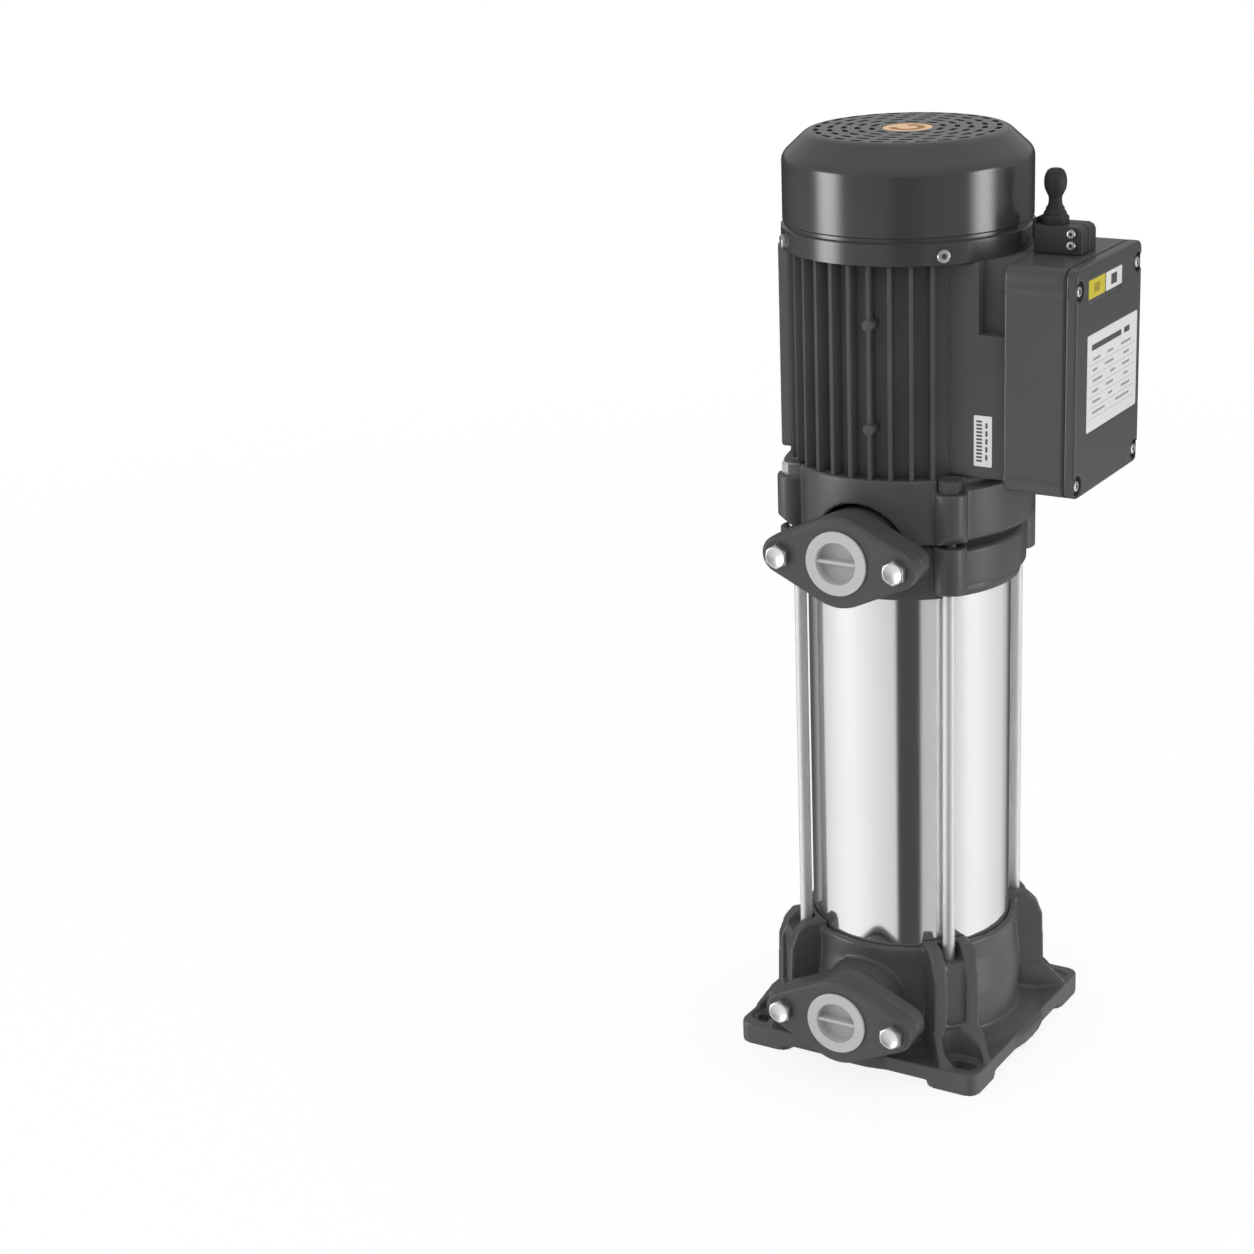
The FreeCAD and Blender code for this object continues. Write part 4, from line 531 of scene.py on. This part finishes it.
PAN_POINTS = 32
PAN_ROUNDING = 0.45         # the edge's radius as a share of the head's height
PAN_STEPS = 5
SOCKET_CHAMFER = 0.15
SOCKET_DEPTH = 1.1
SOCKET_SHADE_DEPTHS = (1.3, 0.75)  # depths between which a dark block stands in the socket as painted shade
SOCKET_SLACK = 0.05


def pan_screw(radius, head, socket, shank_radius, shank):
    """Round screw head with a socket, seated at height zero."""
    edge = head * PAN_ROUNDING
    profile = [(shank_radius, -shank), (shank_radius, 0), (radius, 0), (radius, head - edge)]
    for step in range(1, PAN_STEPS + 1):
        angle = math.pi / 2 * step / PAN_STEPS
        profile.append((radius - edge + edge * math.cos(angle),
                        head - edge + edge * math.sin(angle)))
    profile += [(socket + SOCKET_CHAMFER, head), (socket, head - SOCKET_CHAMFER),
                (socket, head - SOCKET_DEPTH)]
    return lathed(profile, PAN_POINTS)


def islands(node):
    """The point lists of a node's separate solids."""
    shape = welded_shape(node)
    left = set(shape.verts)
    found = []
    while left:
        stack = [left.pop()]
        group = []
        while stack:
            vert = stack.pop()
            group.append(vert.co.copy())
            for edge in vert.link_edges:
                other = edge.other_vert(vert)
                if other in left:
                    left.remove(other)
                    stack.append(other)
        found.append(group)
    shape.free()
    return sorted(found, key=lambda group: tuple(round(c, 4) for c in group_centre(group)))


def group_centre(group):
    low = Vector([min(p[i] for p in group) for i in range(3)])
    high = Vector([max(p[i] for p in group) for i in range(3)])
    return (low + high) / 2


def towards(x, y, z):
    """An axis that is the same for each fastener of a node."""
    return lambda centre: Vector((x, y, z))


def outwards(centre):
    return Vector((centre.x, centre.y, 0))


FORWARD = towards(0, -1, 0)
BACKWARD = towards(0, 1, 0)
UPWARD = towards(0, 0, 1)
SIDEWAYS = towards(1, 0, 0)


def fasteners(node, axis_of, head, maker, shade_painted=None, socket=None, lift=0.0):
    """Detailed fasteners in the place of a node's plain ones; maker gets the shank length."""
    parts = []
    shaded_copies = []
    socket_shades = []
    for group in islands(node):
        centre = group_centre(group)
        axis = axis_of(centre).normalized()
        along = [p.dot(axis) for p in group]
        seat = max(along) + (lift - head) * MM
        shank = (seat - min(along)) / MM
        place = centre + axis * (seat - centre.dot(axis))
        turn = axis.to_track_quat("Z", "Y").to_matrix().to_4x4()
        seated = Matrix.Translation(place) @ turn
        # The fasteners that the predicate picks get the castings' dark paint as painted shade;
        # the rest stay bright.
        group_of = shaded_copies if shade_painted and shade_painted(centre) else parts
        group_of.append((*maker(shank), seated))
        # A dark block of the carbon finish in each socket is painted shade.
        if socket:
            deep, shallow = SOCKET_SHADE_DEPTHS
            floor = [(socket - SOCKET_SLACK, head - depth) for depth in (deep, shallow)]
            socket_shades.append((*lathed(floor, 6), seated))
    if socket_shades:
        name = node + "_sockets"
        piece(name, build(name, socket_shades), node, FINISHES["carbon"], stands=False)
    # One piece for the fasteners whose dark paint is painted shade.
    if shaded_copies:
        name = node + "_painted"
        piece(name, build(name, shaded_copies), node, FINISHES["cast_paint"], stands=False)
    piece(node + "_form", build(node + "_form", parts), node)


def hex_bolts(node, axis_of, across, head, shank_radius, shade_painted=None):
    fasteners(node, axis_of, head,
              lambda shank: hex_bolt(across, head, shank_radius, shank), shade_painted)


def pan_screws(node, axis_of, radius, head, socket, shank_radius, lift=0.0):
    fasteners(node, axis_of, head,
              lambda shank: pan_screw(radius, head, socket, shank_radius, shank),
              socket=socket, lift=lift)


LID_SCREW_HEAD = 2.4
LID_LIFT = 2.2              # height of the seats in the pockets of the cover's screws


# The front-right bracket bolt, which gets the castings' dark paint as painted shade.
def front_right(centre):
    return centre.x > 0 and centre.y < 0


def make_fasteners():
    for node in ("suction_flange_bolts", "discharge_flange_bolts"):
        hex_bolts(node, FORWARD, 14.0, 5.3, 4.0)
    hex_bolts("bracket_bolts", UPWARD, 13.0, 8.0, 4.0, front_right)
    for node in ("drain_plug", "vent_plug"):
        hex_bolts(node, BACKWARD, 13.0, 5.0, 5.0)
    pan_screws("fan_cover_screws", outwards, 4.2, 2.4, 1.7, 2.0)
    pan_screws("terminal_cover_screws", SIDEWAYS, 3.4, LID_SCREW_HEAD, 1.3, 2.0, LID_LIFT)
    pan_screws("cable_clamp_screws", FORWARD, 2.9, 2.0, 1.2, 1.6)


# Turned forms, in millimetres

IN_PLACE = Matrix.Identity(4)
BOOT_POINTS = 64
BOOT_PROFILE = [            # radius and height: flared foot, waist and closed bulb
    (0, 0), (7.2, 0), (7.2, 14), (8.5, 15.2), (8.5, 18.6), (7.9, 19.4), (7.0, 20.2),
    (6.9, 21.4), (6.2, 22.2), (5.6, 23.4), (5.6, 24.4), (4.7, 25.2), (4.2, 27.0),
    (4.0, 29.0), (4.2, 31.0), (5.2, 33.0), (6.3, 35.2), (6.8, 37.6), (6.9, 40.0),
    (6.7, 42.4), (6.1, 44.6), (5.0, 46.5), (3.4, 47.6), (1.6, 47.95), (0, 48.0),
]


def make_boot():
    """Soft cable boot with moulded rings."""
    low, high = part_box("cable_boot")
    foot = ((low.x + high.x) / 2, (low.y + high.y) / 2, low.z)
    place = Matrix.Translation(foot)
    mesh = build("cable_boot_form", [(*lathed(BOOT_PROFILE, BOOT_POINTS), place)])
    mesh.shade_smooth()
    piece("cable_boot_form", mesh, "cable_boot")


SLEEVE_POINTS = 256
SLEEVE_WALL = 0.8
SLEEVE_EDGE = 0.2


def ring_form(profile, count):
    """Points and faces of a closed ring round the pump's axis."""
    return shell([round_ring(r * MM, h * MM, count) for r, h in profile + profile[:1]],
                 closed_ends=False)


def make_sleeve():
    """Polished tube with many facets, so that its reflections run straight."""
    low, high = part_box("outer_sleeve")
    outer, inner = high.x / MM, high.x / MM - SLEEVE_WALL
    bottom, top = low.z / MM, high.z / MM
    profile = [(inner, bottom), (outer - SLEEVE_EDGE, bottom), (outer, bottom + SLEEVE_EDGE),
               (outer, top - SLEEVE_EDGE), (outer - SLEEVE_EDGE, top), (inner, top)]
    mesh = build("outer_sleeve_form", [(*ring_form(profile, SLEEVE_POINTS), IN_PLACE)])
    piece("outer_sleeve_form", mesh, "outer_sleeve")


RIM_POINTS = 192
RIM_PROFILE = [             # radius and height, from the head's underside down and back up
    (66.1, 332.0), (66.1, 325.7), (66.6, 325.2), (70.4, 325.2), (71.2, 325.6),
    (71.5, 326.5), (71.5, 331.6), (70.9, 334.0), (68.0, 335.0),
]


def make_head_rim():
    """Lower rim of the head, round the top of the sleeve."""
    mesh = build("head_rim", [(*ring_form(RIM_PROFILE, RIM_POINTS), IN_PLACE)])
    piece("head_rim", mesh, "pump_head", stands=False)


# Seats and walls in the terminal cover's screw pockets, in millimetres

SEAT_POINTS = 64
SEAT_RADIUS = 6.15
SEAT_HOLE = 4.2
SEAT_SINK = 0.3             # how far seats and walls reach into the cover below the pocket
SIDE_INSET = 0.05           # from the cover's side to the walls' outer face
SEAT_INSET = 0.7            # from there to the seats' straight cut
WALL_THICK = 1.3
WALL_BEVEL = 1.1
WALL_HALF = 4.8             # half the walls' length
WALL_SHOULDER, WALL_TOP = 132.3, 133.3


def cut_disc(centre, radius, limit, x):
    """A ring of points round a cover screw, cut straight at the cover's side."""
    ring = []
    for i in range(SEAT_POINTS):
        angle = TURN * i / SEAT_POINTS
        y = centre.y + radius * math.cos(angle)
        y = max(-limit, min(limit, y))
        ring.append((x * MM, y * MM, (centre.z + radius * math.sin(angle)) * MM))
    return ring


def make_lid_seats():
    """Raised seats under the cover's screws, and the thin walls that close their pockets."""
    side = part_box("terminal_cover")[1].y / MM - SIDE_INSET
    cut = side - SEAT_INSET
    inside = side - WALL_THICK
    seats = []
    walls = []
    for group in islands("terminal_cover_screws"):
        centre = group_centre(group) / MM
        floor = max(p.x for p in group) / MM - LID_SCREW_HEAD
        foot, top = floor - SEAT_SINK, floor + LID_LIFT
        levels = ((SEAT_RADIUS, foot), (SEAT_RADIUS, top), (SEAT_HOLE, top))
        rings = [cut_disc(centre, radius, cut, x) for radius, x in levels]
        seats.append((*shell(rings), IN_PLACE))
        out = math.copysign(1, centre.y)
        section = [(foot, inside), (foot, side), (WALL_SHOULDER, side),
                   (WALL_TOP, side - WALL_BEVEL), (WALL_TOP, inside)]
        ends = [[(x * MM, out * y * MM, (centre.z + end) * MM) for x, y in section]
                for end in (-WALL_HALF, WALL_HALF)]
        walls.append((*shell(ends), IN_PLACE))
    piece("lid_seats", build("lid_seats", seats), "terminal_cover", stands=False)
    piece("lid_walls", build("lid_walls", walls), "terminal_cover", stands=False)


# Labels, in millimetres: plain bars and squares, each as x, y, width and height from the
# middle of its label

CORNER_TURN = math.pi / 2
BAR_CORNER = 0.15
PRINT_THICK = 0.04
PLATE_TOP = (0.6, 0.99)     # where a plate's soft top edge starts, and how far it draws in


def flat_outline(width, height, corner, steps=6):
    """Rounded rectangle round the origin."""
    points = []
    for quarter, (x, y) in enumerate(((1, 1), (-1, 1), (-1, -1), (1, -1))):
        for i in range(steps + 1):
            angle = CORNER_TURN * (quarter + i / steps)
            points.append((x * (width / 2 - corner) + corner * math.cos(angle),
                           y * (height / 2 - corner) + corner * math.sin(angle)))
    return points


def slab(outline, thick):
    """A thin plate on an outline, from height zero to thick, with a soft top edge."""
    edge, shrink = PLATE_TOP
    levels = ((1, 0), (1, thick * edge), (shrink, thick))
    return shell([[(x * scale * MM, y * scale * MM, height * MM) for x, y in outline]
                  for scale, height in levels])


def plate(name, node, place, outline, thick, material=None):
    """One thin plate as a piece of its own."""
    piece(name, build(name, [(*slab(outline, thick), place)]), node, material, stands=False)


def bar(x, y, width, height, thick):
    """One printed bar at a place on a label."""
    corner = min(BAR_CORNER, height / 2.1)
    points, faces = slab(flat_outline(width, height, corner, 2), thick)
    return [(px + x * MM, py + y * MM, pz) for px, py, pz in points], faces


def printed(name, node, place, bars, material, thick=PRINT_THICK):
    parts = [(*bar(*spec, thick), place) for spec in bars]
    piece(name, build(name, parts), node, material, stands=False)


ALONG_X, ALONG_Y, ALONG_Z = Vector((1, 0, 0)), Vector((0, 1, 0)), Vector((0, 0, 1))


def facing(origin, right, up):
    """Matrix that puts a label's own x and y along right and up, at origin."""
    turn = Matrix((right, up, right.cross(up))).transposed().to_4x4()
    return Matrix.Translation(Vector(origin) * MM) @ turn


def on_lid(x, y, z):
    return facing((x, y, z), ALONG_Y, ALONG_Z)


PLATE_HEADS = [(-9.5, 21.5, 47, 3.6), (23, 21.5, 9, 3.6)]
PLATE_RUNS = (              # for each row, where its bars start and how long they are
    ((-31, 12), (-8, 9), (14, 16)),
    ((-31, 7), (-12, 14), (18, 9)),
    ((-31, 15), (-3, 8), (16, 12)),
    ((-31, 9), (-10, 12), (19, 7)),
    ((-31, 13), (-6, 7), (15, 14)),
    ((-31, 20), (6, 22)),
)
ROW_STEP = 6.6
FIRST_ROW, ROW_BAR = 14.0, 1.5
FIRST_RULE, RULE_LENGTH, RULE_BAR, RULE_THICK = 10.7, 72, 0.25, 0.03


def make_plate_print():
    low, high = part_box("rating_plate")
    middle = (low + high) / 2 / MM
    over = on_lid(high.x / MM, middle.y, middle.z)
    printed("plate_heading", "rating_plate", over, PLATE_HEADS, INK)
    rows = [(start + length / 2, FIRST_ROW - row * ROW_STEP, length, ROW_BAR)
            for row, runs in enumerate(PLATE_RUNS) for start, length in runs]
    printed("plate_rows", "rating_plate", over, rows, PALE_INK)
    rules = [(0, FIRST_RULE - row * ROW_STEP, RULE_LENGTH, RULE_BAR)
             for row in range(len(PLATE_RUNS))]
    printed("plate_rules", "rating_plate", over, rules, PALE_INK, RULE_THICK)


TAG_BED = (133.5, -7.5, 522.0)
TAG_FACE, TAG_PRINT, TAG_HEIGHT = 133.85, 133.95, 523.6
TAGS = (                    # name, place across the cover, paint, mark, mark's paint
    ("tag_left", -20.6, YELLOW, (0, 0, 9.0, 5.6), OLIVE),
    ("tag_right", 6.2, None, (0, 0, 9.4, 6.4), INK),
)


def make_tags():
    """The two small tags over the rating plate, on a bed of their own."""
    bed = flat_outline(54.9, 14.9, 1.0)
    plate("tag_bed", "terminal_cover", on_lid(*TAG_BED), bed, 0.35)
    tag = flat_outline(25.6, 11.4, 0.9)
    for name, y, colour, mark, ink in TAGS:
        plate(name, "rating_plate", on_lid(TAG_FACE, y, TAG_HEIGHT), tag, 0.1, colour)
        over = on_lid(TAG_PRINT, y, TAG_HEIGHT)
        printed(name + "_mark", "rating_plate", over, [mark], ink)


SIDE_LABEL = (71.8, -45.5, 428.0)
SIDE_LABEL_FACE = -45.7
SIDE_LABEL_MARKS = [(-2.4, -12.4 + row * 2.25, 3.8, 1.3) for row in range(12)]
SIDE_LABEL_MARKS += [(2.4, -10.0 + row * 5.0, 1.5, 3.4) for row in range(5)]


def make_side_label():
    """White label on the pad beside the terminal box."""
    x, y, z = SIDE_LABEL
    plate("side_label", "motor_housing", facing((x, y, z), ALONG_X, ALONG_Z),
          flat_outline(12.0, 32.0, 0.8), 0.2, FINISHES["label_white"])
    over = facing((x, SIDE_LABEL_FACE, z), ALONG_X, ALONG_Z)
    printed("side_label_marks", "motor_housing", over, SIDE_LABEL_MARKS, INK)


TOP_FACE = 608.2            # height of the recess in the fan cover's top
STICKER_RADIUS, STICKER_POINTS, STICKER_THICK = 15.4, 64, 0.35
ARROW_HEIGHT, ARROW_THICK = 0.36, 0.05
ARROW_INNER, ARROW_OUTER = 6.5, 11.0
ARROW_START, ARROW_SWEEP = math.radians(200), math.radians(250)
ARROW_STEPS = 40
ARROW_BARB = 2.2            # how far the arrow's head stands out on each side
ARROW_LEAD = 0.55           # radians from the head's foot to its tip


def around(radius, angle):
    return (radius * math.cos(angle), radius * math.sin(angle))


def make_sticker():
    """Round sticker on the fan cover, with a turning arrow."""
    disc = [around(STICKER_RADIUS, TURN * i / STICKER_POINTS) for i in range(STICKER_POINTS)]
    plate("cover_sticker", "fan_cover", facing((0, 0, TOP_FACE), ALONG_X, ALONG_Y),
          disc, STICKER_THICK, TAN)
    bends = [ARROW_START + ARROW_SWEEP * i / ARROW_STEPS for i in range(ARROW_STEPS + 1)]
    end = ARROW_START + ARROW_SWEEP
    arrow = [around(ARROW_OUTER, angle) for angle in bends]
    arrow.append(around(ARROW_OUTER + ARROW_BARB, end))
    arrow.append(around((ARROW_INNER + ARROW_OUTER) / 2, end + ARROW_LEAD))
    arrow.append(around(ARROW_INNER - ARROW_BARB, end))
    arrow += [around(ARROW_INNER, angle) for angle in reversed(bends)]
    plate("sticker_arrow", "fan_cover",
          facing((0, 0, TOP_FACE + ARROW_HEIGHT), ALONG_X, ALONG_Y), arrow, ARROW_THICK, OCHRE)


bpy.context.scene.view_settings.view_transform = "Standard"
make_camera()
make_world()
make_floor()
for settings in LAMPS:
    lamp(*settings)
dress_nodes()
for name, (voxel, rounds) in CASTINGS.items():
    cast_form(name, voxel, rounds)
edged_form("motor_housing", 0.5)
make_sleeve()
make_head_rim()
make_fasteners()
make_boot()
make_lid_seats()
make_plate_print()
make_tags()
make_side_label()
make_sticker()
